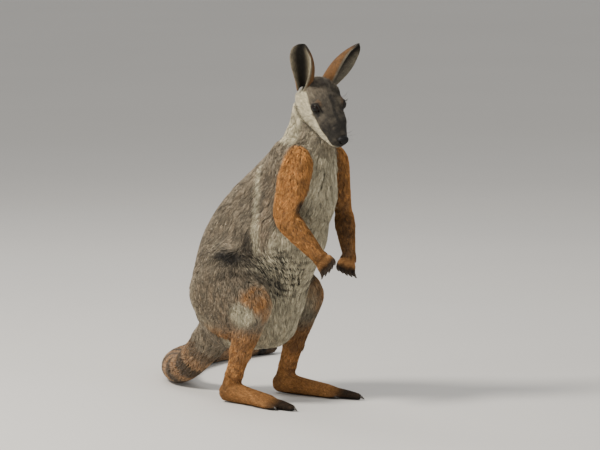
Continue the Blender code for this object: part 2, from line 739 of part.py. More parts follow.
def main():
    clear_scene()
    root = bpy.context.scene.collection
    parts = bpy.data.collections.new("rock_wallaby")
    work = bpy.data.collections.new("cutters")
    work.hide_render = True
    root.children.link(parts)
    root.children.link(work)

    body = make_body(work)
    cut_flat(body, work)
    arms = {side: make_arm(side, work) for side, _ in SIDES}
    for side, _ in SIDES:
        boolean(body, grown(arms[side], f"arm_{side}_grown", work), "DIFFERENCE")
        biggest_body(body)
    pieces = part_body(body, work, parts)
    for side, sign in SIDES:
        pieces[f"thigh_{side}"] = part_with(pieces["trunk"], f"thigh_{side}", thigh_region(side, sign, work), work)

    for side, sign in SIDES:
        shoulder, elbow, wrist, along, _, _ = ARMS[side]
        bm = bmesh.new()
        fore = (wrist - elbow).normalized()
        slab(bm, (elbow + fore * 13) * MM, (fore + (elbow - shoulder).normalized() * 0.5).normalized(), 40 * MM)
        slab(bm, (wrist + along.normalized() * 1) * MM, (fore + along.normalized()).normalized(), 19 * MM)
        boolean(arms[side], mesh_object("arm_discs", bm, work), "DIFFERENCE")
        bodies = loose_bodies(arms[side], work)
        for name, inside in ((f"upper_arm_{side}", shoulder.lerp(elbow, 0.4)),
                             (f"forearm_{side}", elbow.lerp(wrist, 0.6)),
                             (f"hand_{side}", wrist + along.normalized() * 12)):
            pieces[name] = next(piece for piece in bodies if holds(piece, inside * MM))

    head = pieces["head"]
    for side, sign in SIDES:
        socket = eye_ball(f"socket_{side}", sign, EYE_RADIUS + GAP, work)
        eye = eye_ball(f"eye_{side}", sign, EYE_RADIUS, work)
        boolean(head, socket, "DIFFERENCE")
        pieces[f"eye_{side}"] = eye
    for side, sign in SIDES:
        ear = make_ear(side, sign, work)
        boolean(ear, grown(head, "head_grown", work), "DIFFERENCE")
        biggest_body(ear)
        pieces[f"ear_{side}"] = ear
    pieces["nose"] = make_nose(head, work, work)
    for side, sign in SIDES:
        for host, claws in ((pieces[f"hand_{side}"], hand_claws(side, work)),
                            (pieces[f"foot_{side}"], foot_claws(side, sign, work))):
            labels = [one.name for one in claws]
            cut_claws(claws, host, work)
            pieces.update(zip(labels, claws))

    slots = {"head": "face_coat", "nose": "nose_skin", "eye": "eye", "ear": "face_coat", "tail": "tail_coat",
             "upper": "rufous_coat", "forearm": "rufous_coat", "hand": "face_coat", "shank": "rufous_coat",
             "foot": "rufous_coat", "claw": "dark_claw"}
    for name, piece in pieces.items():
        key = "claw" if "claw" in name else name.split("_")[0]
        piece.data.transform(Matrix.Translation(ORIGIN_SHIFT))
        finish_node(piece, name, slots.get(key, "grey_coat"), parts)
    for helper in work.objects:
        helper.display_type = "WIRE"


main()
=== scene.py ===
"""An adult yellow-footed rock-wallaby, life size, standing alert on its hind feet.

One skin stands for all the flesh, with lids and mouth worked into it. Over it lies the coat: solid
tufts that follow one field of directions over the body. Skin and coat take their colours from the same
markings. Eyes, nose, claws and whiskers are pieces of their own.
"""

import math

import bmesh
import bpy
import numpy as np
from mathutils import Matrix, Vector
from mathutils.bvhtree import BVHTree
from mathutils.kdtree import KDTree


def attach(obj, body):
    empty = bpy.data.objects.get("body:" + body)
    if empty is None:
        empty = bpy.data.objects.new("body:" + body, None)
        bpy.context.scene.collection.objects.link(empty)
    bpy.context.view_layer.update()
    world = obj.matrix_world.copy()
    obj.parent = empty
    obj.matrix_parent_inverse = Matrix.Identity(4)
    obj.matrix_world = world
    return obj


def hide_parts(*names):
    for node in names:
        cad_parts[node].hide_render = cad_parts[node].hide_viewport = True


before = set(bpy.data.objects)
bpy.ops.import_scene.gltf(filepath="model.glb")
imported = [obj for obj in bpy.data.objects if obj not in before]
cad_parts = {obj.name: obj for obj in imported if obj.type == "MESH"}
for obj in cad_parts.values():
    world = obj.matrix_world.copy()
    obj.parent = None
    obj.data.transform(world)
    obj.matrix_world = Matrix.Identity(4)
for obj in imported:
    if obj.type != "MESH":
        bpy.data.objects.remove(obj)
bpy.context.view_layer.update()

MM = 0.001
ORIGIN = Vector((-173.8, -100.3, 0.0)) * MM     # where the floor below the animal's navel is, in the frame
SIDES = (("left", 1), ("right", -1))
rng = np.random.default_rng(4127)


# ---------------------------------------------------------------- camera
def look_from(azimuth, elevation):
    """The unit vectors right, up and back of a view."""
    a, e = math.radians(azimuth), math.radians(elevation)
    back = Vector((math.sin(a) * math.cos(e), -math.cos(a) * math.cos(e), math.sin(e)))
    right = Vector((math.cos(a), math.sin(a), 0))
    return right, back.cross(right), back


def add_camera():
    """A long lens, level with the animal's shoulder and 48 degrees round to its right."""
    right, up, back = look_from(-48, 6)
    wide, distance = 0.99, 10.0
    target = ORIGIN + right * 0.0627 + up * 0.28545
    data = bpy.data.cameras.new("camera")
    data.sensor_width = 36
    data.lens = 36 * distance / wide
    data.clip_end = 60
    camera = bpy.data.objects.new("camera", data)
    turn = Matrix((right, up, back)).transposed().to_4x4()
    camera.matrix_world = Matrix.Translation(target + back * distance) @ turn
    bpy.context.scene.collection.objects.link(camera)
    bpy.context.scene.camera = camera


add_camera()

# ---------------------------------------------------------------- the animal's own measures, in millimetres
# In its own frame it faces -Y, its left is +X, and the floor is z = 0 below its navel.
HEAD_AT = (-4, -133, 509)
HEAD = (Matrix.Translation(Vector(HEAD_AT)) @ Matrix.Rotation(math.radians(-16), 4, "Z")
        @ Matrix.Rotation(math.radians(46), 4, "X") @ Matrix.Rotation(math.radians(-6), 4, "Y"))
EYE_RADIUS = 9.2
EYE_AT = (21.5, -29.7, 8.3)
GAZE = (0.84, -0.52, 0.14)
NOSE_AT, NOSE_RADII = (0, -96, 1), (9.6, 7.0, 8.0)
NOSTRIL = ((2.6, 0, -1.6), (4.6, 0, -1.5), (6.3, 0, 0.2), (7.4, 0, 2.4))     # the left one's slit
MOUTH = ((2, -101, -13), (7, -96, -14), (12, -86, -15.5), (16, -72, -17.5), (19.5, -58, -19))
SHOULDER_AT, SHOULDER_RADII = (43, -94, 396), (25, 37, 44)     # the muscle that joins arm and trunk

# Height, centre and half width and depth of the trunk and neck.
TRUNK = np.array((
    (92, 40, 46, 60), (116, 34, 68, 84), (145, 30, 82, 98), (178, 27, 89, 104), (220, 11, 90, 109),
    (262, -9, 86, 117), (305, -26, 79, 108), (349, -54, 69, 96), (376, -71, 61, 80), (402, -86, 54, 65),
    (435, -102, 41, 46), (459, -109, 34, 36), (483, -111, 30, 33), (510, -112, 28, 31)), float)
# Hip, knee and ankle.
LEGS = {
    "left": np.array(((44, 42, 186), (69, -47, 171), (71, 14, 27)), float),
    "right": np.array(((-44, 40, 188), (-78, -66, 167), (-74, 2, 27)), float),
}
# Shoulder, elbow, wrist, and the way that the hand points.
ARMS = {
    "left": np.array(((49, -122, 398), (63, -125, 304), (24, -171, 246), (-0.38, 0.08, -0.92))),
    "right": np.array(((-48, -120, 400), (-63.5, -111.5, 309), (-45, -165, 251), (0.33, -0.64, -0.69))),
}
TAIL = np.array((
    (0, 52, 146), (0, 90, 116), (2, 126, 79), (10, 166, 47), (32, 214, 27.5), (76, 268, 23), (140, 318, 22),
    (218, 356, 21.5), (304, 380, 21), (388, 386, 19.5), (440, 381, 15)), float)
EAR_LENGTH, EAR_HALF_ARC, EAR_THICKNESS = 93, 30, 2.2
EAR_SUNK = 12                   # how much of its length lies in the head
EAR_ROOT = (15.5, 24.5, 9)
# In the head's frame: along the ear, and out of its opening.
EARS = {
    "left": ((0.70, 0.345, 0.533), (0.488, -0.813, 0.075)),
    "right": ((-0.294, 0.242, 0.953), (-1.033, -0.335, 0.0)),
}
# Where the coat parts over each hip and fans out.
PARTING = (87, -18, 236)

# Each part of the flesh: coat depth, tuft length and tuft width in millimetres, how much the skin is
# smoothed, and tufts for each square centimetre.
SINGLE = {
    "trunk": (6.0, 20, 1.25, 0.50, 47),
    "neck": (4.5, 16, 1.0, 0.40, 110),
    "head": (1.7, 6.0, 0.72, 0.07, 190),
    "tail_1": (4.5, 17, 1.3, 0.25, 34),
    "tail_2": (4.0, 17, 1.3, 0.25, 34),
    "tail_3": (4.0, 19, 1.3, 0.25, 34),
}
PAIRED = {
    "thigh": (5.0, 17, 1.15, 0.35, 52),
    "shank": (2.4, 10, 0.95, 0.14, 110),
    "foot": (1.1, 5.0, 0.8, 0.06, 150),
    "upper_arm": (3.8, 11, 0.95, 0.20, 106),
    "forearm": (2.6, 10, 0.9, 0.14, 114),
    "hand": (0.7, 3.5, 0.7, 0.04, 150),
    "ear": (0.5, 5.0, 0.75, 0.0, 96),
}
PARTS = SINGLE | {f"{name}_{side}": values for name, values in PAIRED.items() for side, _ in SIDES}
NAMES = list(PARTS)
KINDS = np.array([name.split("_")[0] for name in NAMES])
FLESH = [name for name in NAMES if not name.startswith("ear")]
COAT_DEPTH, TUFT_LENGTH, TUFT_WIDTH, SMOOTHING, DENSITY = np.array(list(PARTS.values()), float).T
THINNED = 1


def unit(v):
    return v / np.maximum(np.linalg.norm(v, axis=-1, keepdims=True), 1e-12)


def dot(a, b):
    """The dot product of each row of a with the same row of b."""
    return np.einsum("ij,ij->i", a, b)


def mirrored(at, sign):
    """A place or a way given for the animal's left, on the side of the sign."""
    return np.array(at, float) * (sign, 1, 1)


def side_of(name):
    """The side that a part's name gives, and its sign."""
    return ("left", 1) if name.endswith("left") else ("right", -1)


def smooth(low, high, value):
    """0 below low, 1 above high, and an S between them."""
    t = np.clip((value - low) / (high - low), 0, 1)
    return t * t * (3 - 2 * t)


def own(points):
    """Points of the frame, in metres, as the animal's own millimetres."""
    return (points - np.array(ORIGIN)) / MM


def from_own(points):
    return np.asarray(points, float) * MM + np.array(ORIGIN)


def in_head(points):
    """Points in the animal's millimetres, as the head's: x to its left, -y forward, z up."""
    turn = np.array(HEAD.to_3x3())
    return (points - np.array(HEAD_AT)) @ turn


def from_head(points):
    return np.asarray(points, float) @ np.array(HEAD.to_3x3()).T + np.array(HEAD_AT)


def head_ways(ways):
    return np.asarray(ways, float) @ np.array(HEAD.to_3x3()).T


def waves(points, size, seed):
    """A smooth pattern from -1 to 1 with bumps about size millimetres across."""
    dice = np.random.default_rng(seed)
    total = np.zeros(len(points))
    for _ in range(6):
        way = unit(dice.normal(size=3)) * (2 * math.pi / (size * dice.uniform(0.8, 1.5)))
        total += np.sin(points @ way + dice.uniform(0, 6.28))
    return np.clip(total / 3, -1, 1)


# ---------------------------------------------------------------- surfaces as arrays
class Surface:
    """Points, triangles and edges, with the sums over neighbours that smoothing needs."""

    def __init__(self, points, triangles, edges):
        self.points, self.triangles, self.edges = points, triangles, edges
        self.degree = np.bincount(edges.ravel(), minlength=len(points)).astype(float)

    def around(self, values):
        """The mean over each point's neighbours."""
        a, b = self.edges.T
        count = len(self.points)
        values = values.reshape(count, -1)
        total = [np.bincount(a, column[b], count) + np.bincount(b, column[a], count) for column in values.T]
        return np.stack(total, 1) / np.maximum(self.degree, 1)[:, None]

    def spread(self, values, rounds):
        flat = values.ndim == 1
        values = values.reshape(len(self.points), -1)
        for _ in range(rounds):
            values = 0.5 * values + 0.5 * self.around(values)
        return values[:, 0] if flat else values

    def normals(self):
        corner = self.points[self.triangles]
        faces = np.cross(corner[:, 1] - corner[:, 0], corner[:, 2] - corner[:, 0])
        total = np.zeros_like(self.points)
        for k in range(3):
            for axis in range(3):
                total[:, axis] += np.bincount(self.triangles[:, k], faces[:, axis], len(self.points))
        return unit(total)


def arrays_of(mesh):
    mesh.calc_loop_triangles()
    points = np.empty(len(mesh.vertices) * 3, np.float32)
    mesh.vertices.foreach_get("co", points)
    triangles = np.empty(len(mesh.loop_triangles) * 3, np.int32)
    mesh.loop_triangles.foreach_get("vertices", triangles)
    edges = np.empty(len(mesh.edges) * 2, np.int32)
    mesh.edges.foreach_get("vertices", edges)
    return points.reshape(-1, 3).astype(float), triangles.reshape(-1, 3), edges.reshape(-1, 2)


def mesh_of(name, points, triangles):
    mesh = bpy.data.meshes.new(name)
    mesh.vertices.add(len(points))
    mesh.vertices.foreach_set("co", np.asarray(points, np.float32).ravel())
    mesh.loops.add(3 * len(triangles))
    mesh.loops.foreach_set("vertex_index", np.asarray(triangles, np.int32).ravel())
    mesh.polygons.add(len(triangles))
    mesh.polygons.foreach_set("loop_start", np.arange(0, 3 * len(triangles), 3, dtype=np.int32))
    mesh.update(calc_edges=True)
    mesh.validate()
    mesh.shade_smooth()
    return mesh


def shown(name, mesh, material, slot, *replaced):
    """Puts a piece of the animal into the scene."""
    piece = bpy.data.objects.new(name, mesh)
    piece.data.materials.append(material)
    bpy.context.scene.collection.objects.link(piece)
    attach(piece, "root")
    if replaced:
        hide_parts(*replaced)
    return piece


def set_colour(mesh, name, rows):
    layer = mesh.attributes.new(name, "FLOAT_COLOR", "POINT")
    layer.data.foreach_set("color", np.asarray(rows, np.float32).ravel())


def set_grey(mesh, name, values):
    set_colour(mesh, name, np.stack([values, values, values, np.ones(len(values))], 1))


def outward(points, triangles):
    """The triangles of a closed surface, turned to face out."""
    corner = points[triangles] - points.mean(0)
    volume = dot(corner[:, 0], np.cross(corner[:, 1], corner[:, 2])).sum()
    return triangles[:, ::-1] if volume < 0 else triangles


def tube_rings(line, first, second, thick, sides):
    """Rings of points round a line, spread along the two ways given at each of its points."""
    spin = np.arange(sides) * 2 * math.pi / sides
    round_it = np.cos(spin)[None, :, None] * first[:, None] + np.sin(spin)[None, :, None] * second[:, None]
    return line[:, None] + round_it * thick[:, None, None]


def swell(obj, amount):
    """Grows an object along its normals."""
    grow = obj.modifiers.new("grow", "DISPLACE")
    grow.strength, grow.mid_level = amount * MM, 0.0


def evaluated(obj):
    graph = bpy.context.evaluated_depsgraph_get()
    return bpy.data.meshes.new_from_object(obj.evaluated_get(graph))


def scratch(mesh):
    obj = bpy.data.objects.new("scratch", mesh)
    bpy.context.scene.collection.objects.link(obj)
    return obj


# ---------------------------------------------------------------- the skin
def joined_flesh():
    """The flesh solids, a ball over each eye and a muscle at each shoulder as one mesh, a tree of the solids
    to look places up in, and which part each of its faces belongs to.
    """
    bm = bmesh.new()
    labels = []
    for name in FLESH:
        before = len(bm.faces)
        bm.from_mesh(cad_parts[name].data)
        labels += [NAMES.index(name)] * (len(bm.faces) - before)
    bm.faces.ensure_lookup_table()
    tree = BVHTree.FromBMesh(bm)
    for _, sign in SIDES:
        centre = from_own(from_head(mirrored(EYE_AT, sign)))
        bmesh.ops.create_icosphere(bm, subdivisions=4, radius=(EYE_RADIUS + 1.3) * MM,
                                   matrix=Matrix.Translation(Vector(centre)))
        shoulder = Matrix.Translation(Vector(from_own(mirrored(SHOULDER_AT, sign))))
        stretch = Matrix.Diagonal((*(radius * MM for radius in SHOULDER_RADII), 1))
        bmesh.ops.create_icosphere(bm, subdivisions=4, radius=1, matrix=shoulder @ stretch)
    mesh = bpy.data.meshes.new("flesh")
    bm.to_mesh(mesh)
    bm.free()
    return mesh, tree, labels


def remeshed(mesh, voxel):
    """Grown just enough to close the cuts between the solids, and remeshed as one body."""
    obj = scratch(mesh)
    swell(obj, 0.3)
    remesh = obj.modifiers.new("remesh", "REMESH")
    remesh.mode, remesh.voxel_size = "VOXEL", voxel
    body = evaluated(obj)
    bpy.data.objects.remove(obj)
    return body


def refined(mesh):
    """Finer faces round the eyes, the nose and the mouth."""
    bm = bmesh.new()
    bm.from_mesh(mesh)
    fine_at = [mirrored(EYE_AT, sign) for _, sign in SIDES] + [(0, -92, -5)]
    spots = [Vector(from_own(from_head(at))) for at in fine_at]
    near = [edge for edge in bm.edges if any((edge.verts[0].co - at).length < 17 * MM for at in spots)]
    bmesh.ops.subdivide_edges(bm, edges=near, cuts=1, use_grid_fill=True)
    bmesh.ops.triangulate(bm, faces=[face for face in bm.faces if len(face.verts) > 4])
    fine = bpy.data.meshes.new("fine")
    bm.to_mesh(fine)
    bm.free()
    return fine


def nearest_labels(tree, labels, points):
    found = np.empty(len(points), int)
    for i, point in enumerate(points):
        found[i] = labels[tree.find_nearest(point)[2]]
    return found


def bump_at(points, centre, radii, height):
    """How far a soft round bump raises points, or sinks them where its height is below 0."""
    far = np.linalg.norm((points - centre) / np.array(radii), axis=1)
    return np.exp(-far ** 2 * 1.4) * height


def line_distance(points, line):
    """How far points are from a broken line, and how far along it the nearest place is, from 0 to 1."""
    line = np.asarray(line, float)
    best = np.full(len(points), 1e9)
    place = np.zeros(len(points))
    spans = len(line) - 1
    for i in range(spans):
        a, b = line[i], line[i + 1]
        t = np.clip((points - a) @ (b - a) / ((b - a) @ (b - a)), 0, 1)
        far = np.linalg.norm(points - a - t[:, None] * (b - a), axis=1)
        closer = far < best
        best[closer], place[closer] = far[closer], (i + t[closer]) / spans
    return best, place


def eye_frame(sign):
    """The eye's centre and its axes in the head's frame: along the slit, up, and out along its gaze."""
    gaze = unit(mirrored(GAZE, sign))
    along = unit(np.cross(gaze, (0.0, 0.10, 1.0)) * sign)
    return mirrored(EYE_AT, sign), along, np.cross(along, gaze) * sign, gaze


def from_eye(points, sign):
    """How far points of the head's frame are from the middle of an eye."""
    return np.linalg.norm(points - mirrored(EYE_AT, sign), axis=1)


# The slit between the lids: half its length and its height above and below the middle, as angles on the ball.
SLIT = math.radians(64), math.radians(56), math.radians(50)


def slit_share(points, sign):
    """Below 1 inside the slit between the lids and above 1 outside it, for points in the head's frame."""
    centre, along, up, gaze = eye_frame(sign)
    way = unit(points - centre)
    x, y, z = way @ along, way @ up, way @ gaze
    across, high = np.arctan2(x, np.maximum(z, 0.02)), np.arctan2(y, np.maximum(z, 0.02))
    tall = np.where(high > 0, SLIT[1], SLIT[2])
    share = np.sqrt((across / SLIT[0]) ** 2 + (high / tall) ** 2)
    return np.where(z > -0.2, share, 9.0)


# Forms of the head, on its left: where, how wide, and how high in millimetres.
FORMS = {
    "brow": ((20, -27, 20), (8, 12, 6), 0.3),
    "temple": ((21, -4, 14), (9, 14, 9), 1.6),
    "below the eye": ((19, -50, 2), (7, 10, 6), -0.5),
    "cheekbone": ((25, -22, -6), (9, 16, 6), 1.2),
    "whisker pad": ((11, -84, -9), (6, 9, 6), 1.3),
    "lower jaw": ((11, -78, -20), (8, 16, 7), 3.2),
    "side of the muzzle": ((16, -54, 6), (7, 14, 8), 1.2),
    "before the eye": ((20, -45, 5), (7, 8, 9), 1.8),
}


def sculpt_head(points, normals):
    """Works the forms and the mouth into the head, and opens it for the ears and eyes."""
    h = in_head(own(points))
    n = normals @ np.array(HEAD.to_3x3())
    raised = np.zeros(len(h))
    for _, sign in SIDES:
        for at, radii, height in FORMS.values():
            raised += bump_at(h, mirrored(at, sign), radii, height)
        far, place = line_distance(h, mirrored(MOUTH, sign))
        raised -= np.exp(-(far / 1.5) ** 2) * 1.5 * (1 - smooth(0.8, 1.0, place))
        raised += np.exp(-((far - 3.2) / 1.8) ** 2) * 0.5 * (1 - smooth(0.7, 1.0, place))
    h = h + n * raised[:, None]
    h = in_head(sunk_in_ears(from_head(h)))
    for _, sign in SIDES:
        centre, _, _, gaze = eye_frame(sign)
        share = slit_share(h, sign)
        way = h - centre
        far = np.linalg.norm(way, axis=1)
        near = smooth(EYE_RADIUS + 11, EYE_RADIUS + 3, far)
        lid = EYE_RADIUS + 0.7
        covering = (share >= 1) & (far < lid + 4)
        wanted = np.where(covering, np.maximum(far, lid + 0.6 * np.exp(-((share - 1.25) / 0.22) ** 2)), far)
        wanted = np.where(share < 1, EYE_RADIUS - 2.5, wanted)
        facing = (way @ gaze) > -EYE_RADIUS * 0.35
        moved = np.where(facing & (near > 0), wanted, far)
        h = centre + way * (moved / np.maximum(far, 1e-6))[:, None]
    return from_own(from_head(h))


def ear_basis(side, sign):
    """An ear's root, and its axes: across it, out of its opening and along it."""
    along, opening = (unit(head_ways(way)) for way in EARS[side])
    opening = unit(opening - along * (opening @ along))
    across = np.cross(along, opening)
    root = from_head(mirrored(EAR_ROOT, sign)) - along * EAR_SUNK
    return root, across, opening, along


def ear_arc(share, outer):
    """The curl of the ear's cross section: its radius, half its angle, and how far it leans back."""
    fullness, climb = np.where(outer, 1.23, 1.0), np.where(outer, 1.46, 0.84)
    profile = fullness * np.sin(np.pi * np.minimum(1, 0.20 + 0.80 * share ** climb)) ** 0.58
    half_angle = np.radians(148 - 87 * np.minimum(1, share * 1.24))
    return EAR_HALF_ARC * np.maximum(profile, 0.04) / half_angle, half_angle, 9 * np.sin(np.pi * share)


def ear_sheet(side, sign, share, across):
    """A point of the ear's middle surface and which way is out of its back there."""
    root, wide, opening, along = ear_basis(side, sign)
    radius, half_angle, lean = ear_arc(share, across * sign > 0)
    angle = across * half_angle
    x = radius * np.sin(angle)
    y = lean - radius * (1 - np.cos(angle))
    out = np.sin(angle)[..., None] * wide - np.cos(angle)[..., None] * opening
    return root + x[..., None] * wide - y[..., None] * opening + (EAR_LENGTH * share)[..., None] * along, out


def in_canal(p, side, sign):
    """How deep within the tube of an ear points of the head lie, from 0 to 1, and how far up its axis."""
    root, wide, opening, along = ear_basis(side, sign)
    e = p - root
    up = e @ along
    radius, _, lean = ear_arc(np.clip(up / EAR_LENGTH, 0, 1), (e @ wide) * sign > 0)
    off = np.hypot(e @ wide, -(e @ opening) - (lean - radius))
    return smooth(1.02, 0.72, off / radius) * (up > 0) * (up < 45), up


def sunk_in_ears(p):
    """Sinks the head's surface inside each ear, so that the ear is hollow down to its root."""
    for side, sign in SIDES:
        inside, up = in_canal(p, side, sign)
        p = p - (inside * np.maximum(up - 3, 0))[:, None] * ear_basis(side, sign)[3]
    return p


def add_ear(side, sign):
    """One ear as a closed thin sheet, rounded at its rim. Returns its points and triangles."""
    rows, columns = 44, 30
    share = np.linspace(0, 1, rows)[:, None] * np.ones(columns)
    across = np.linspace(-1, 1, columns)[None, :] * np.ones((rows, 1))
    middle, out = ear_sheet(side, sign, share, across)
    to_margin, to_tip = np.clip((1 - np.abs(across)) / 0.10, 0, 1), np.clip((1 - share) / 0.05, 0, 1)
    rim = np.minimum(1, np.sqrt(to_margin) * np.sqrt(to_tip))
    half = EAR_THICKNESS / 2 * (0.25 + 0.75 * rim)[..., None] * (1.7 - 0.7 * share)[..., None]
    points = np.concatenate([(middle + out * half).reshape(-1, 3), (middle - out * half).reshape(-1, 3)])
    index = np.arange(rows * columns).reshape(rows, columns)
    corners = index[:-1, :-1], index[:-1, 1:], index[1:, 1:], index[1:, :-1]
    a, b, c, d = (corner.ravel() for corner in corners)
    back = np.concatenate([np.stack([a, b, c], 1), np.stack([a, c, d], 1)])
    front = back[:, ::-1] + rows * columns
    border = np.concatenate([index[0, :], index[1:, -1], index[-1, -2::-1], index[-2:0:-1, 0]])
    after = np.roll(border, -1)
    wall = np.concatenate([np.stack([border, border + rows * columns, after], 1),
                           np.stack([after, border + rows * columns, after + rows * columns], 1)])
    return points, outward(points, np.concatenate([back, front, wall]))


def edges_of(triangles):
    pairs = np.sort(np.concatenate([triangles[:, ends] for ends in ([0, 1], [1, 2], [2, 0])]), axis=1)
    return np.unique(pairs, axis=0)


def build_skin():
    """The whole skin as arrays, and each point's part."""
    flesh, tree, labels = joined_flesh()
    body = remeshed(flesh, 1.35 * MM)
    points, triangles, edges = arrays_of(body)
    part = nearest_labels(tree, labels, points)
    skin = Surface(points, triangles, edges)
    rate = skin.spread(SMOOTHING[part], 12)
    for joined in ("upper", "thigh", "shank"):
        share = skin.spread((KINDS[part] == joined).astype(float), 60)
        rate = np.maximum(rate, np.minimum(0.62, 4 * share * (1 - share)))
    rate = rate[:, None]
    for _ in range(46):
        skin.points = skin.points + rate * (skin.around(skin.points) - skin.points)
    depth = skin.spread(depths_at(part, skin.points), 14)
    skin.points = skin.points - skin.normals() * depth[:, None] * MM
    mesh = refined(mesh_of("body", skin.points, triangles))
    points, triangles, edges = arrays_of(mesh)
    skin = Surface(points, triangles, edges)
    skin.points = sculpt_head(skin.points, skin.normals())
    part = nearest_labels(tree, labels, skin.points)
    points, triangles = skin.points, skin.triangles
    for side, sign in SIDES:
        ear_points, ear_triangles = add_ear(side, sign)
        triangles = np.concatenate([triangles, ear_triangles + len(points)])
        points = np.concatenate([points, from_own(ear_points)])
        part = np.concatenate([part, np.full(len(ear_points), NAMES.index(f"ear_{side}"))])
    return Surface(points, triangles, edges_of(triangles)), part


def depths_at(part, points):
    """The coat's depth over each point of the body, in millimetres."""
    h = in_head(own(points))
    face = 0.7 + 2.6 * smooth(-60, 10, h[:, 1])
    for _, sign in SIDES:
        face = face * (0.30 + 0.70 * smooth(EYE_RADIUS + 2, EYE_RADIUS + 14, from_eye(h, sign)))
    return np.where(KINDS[part] == "head", face, COAT_DEPTH[part])


# ---------------------------------------------------------------- the lie of the coat
def trunk_place(p):
    """Where points lie round the trunk: the angle from its front, 0 to pi, and the axis' direction there."""
    z = np.clip(p[:, 2], TRUNK[0, 0], TRUNK[-1, 0])
    centre = np.interp(z, TRUNK[:, 0], TRUNK[:, 1])
    ahead = np.interp(z + 8, TRUNK[:, 0], TRUNK[:, 1])
    angle = np.abs(np.arctan2(p[:, 0], centre - p[:, 1]))
    down = unit(np.stack([np.zeros(len(p)), centre - ahead, np.full(len(p), -8.0)], 1))
    return angle, down


def tail_place(p):
    """How far along the tail points are, from 0 to 1, and the tail's direction there."""
    _, place = line_distance(p, TAIL)
    step = np.clip((place * (len(TAIL) - 1)).astype(int), 0, len(TAIL) - 2)
    ways = unit(np.diff(TAIL, axis=0))
    return place, ways[step]


def lie_of(part, points, normals):
    """Which way the coat lies at each point: from the nose back, down the body and out along every limb."""
    p = own(points)
    lie = np.zeros_like(p)
    angle, down = trunk_place(p)
    for number, name in enumerate(NAMES):
        here = part == number
        if not here.any():
            continue
        q = p[here]
        side, sign = side_of(name)
        if name == "trunk":
            way = down[here].copy()
            parting = np.array(PARTING) * np.stack([np.sign(q[:, 0]), np.ones(len(q)), np.ones(len(q))], 1)
            away = q - parting
            far = np.linalg.norm(away, axis=1)
            pull = 1.5 * np.exp(-(far / 95) ** 2) * smooth(70, -10, away[:, 2])
            way = way + unit(away) * pull[:, None]
            way[:, 0] += 0.25 * np.sign(q[:, 0]) * smooth(2.2, 3.1, angle[here])
        elif name == "neck":
            way = down[here] + np.array((0, 0.05, -0.3))
        elif name == "head":
            h = in_head(q)
            local = np.stack([0.012 * h[:, 0], np.ones(len(h)), 0.10 - 0.55 * smooth(6, -22, h[:, 2])], 1)
            local = unit(local)
            for _, eye in SIDES:
                away = h - eye_frame(eye)[0]
                far = np.linalg.norm(away, axis=1)
                local = local + unit(away) * (1.3 * np.exp(-((far - EYE_RADIUS) / 6) ** 2))[:, None]
            way = head_ways(local)
        elif name.startswith("tail"):
            way = tail_place(q)[1]
        elif name.startswith("thigh"):
            _, knee, ankle = LEGS[side]
            shin = smooth(175, 120, q[:, 2])[:, None]
            way = (1 - shin) * unit(np.array((0, -0.25, -1.0))) + shin * unit(ankle - knee)
            away = q - mirrored(PARTING, sign)
            far = np.linalg.norm(away, axis=1)
            way = way + unit(away) * (0.9 * np.exp(-(far / 80) ** 2))[:, None]
        elif name.startswith("shank"):
            _, knee, ankle = LEGS[side]
            way = np.broadcast_to(unit(ankle - knee), q.shape)
        elif name.startswith("foot"):
            way = np.broadcast_to(np.array((0, -1.0, -0.12)), q.shape).copy()
            way[:, 2] -= 1.6 * smooth(28, 50, q[:, 2])
        elif name.startswith("upper"):
            shoulder, elbow, _, _ = ARMS[side]
            way = np.broadcast_to(unit(elbow - shoulder), q.shape)
        elif name.startswith("forearm"):
            _, elbow, wrist, _ = ARMS[side]
            way = np.broadcast_to(unit(wrist - elbow) + (0, 0, -0.35), q.shape)
        elif name.startswith("hand"):
            way = np.broadcast_to(ARMS[side][3], q.shape)
        else:
            root, wide, _, along = ear_basis(side, sign)
            way = along + ((q - root) @ wide)[:, None] * wide * 0.006
        lie[here] = unit(way)
    return tangent(lie, normals)


def tangent(ways, normals):
    """Ways with their part across the surface taken out."""
    return unit(ways - normals * dot(ways, normals)[:, None])


# ---------------------------------------------------------------- markings
def band(value, middle, half, soft):
    """1 within half of middle, falling to 0 over soft."""
    return smooth(half + soft, half, np.abs(value - middle))


def spot(p, at, radii):
    """1 in the middle of a soft oval spot, 0 outside it."""
    far = np.linalg.norm((p - np.asarray(at, float)) / np.asarray(radii, float), axis=1)
    return smooth(1.25, 0.55, far)


# The line on each side where the flank's coat hangs over the thigh, along which a shadow is painted.
ARC_TOP = np.array((
    (88, 25, 216), (90, -19, 219), (86, -60, 213), (80, -70, 205), (72, -78, 190), (64, -80, 170)), float)


def above_arc(p):
    """How far above that line points lie."""
    return p[:, 2] - np.interp(p[:, 1], ARC_TOP[::-1, 1], ARC_TOP[::-1, 2])


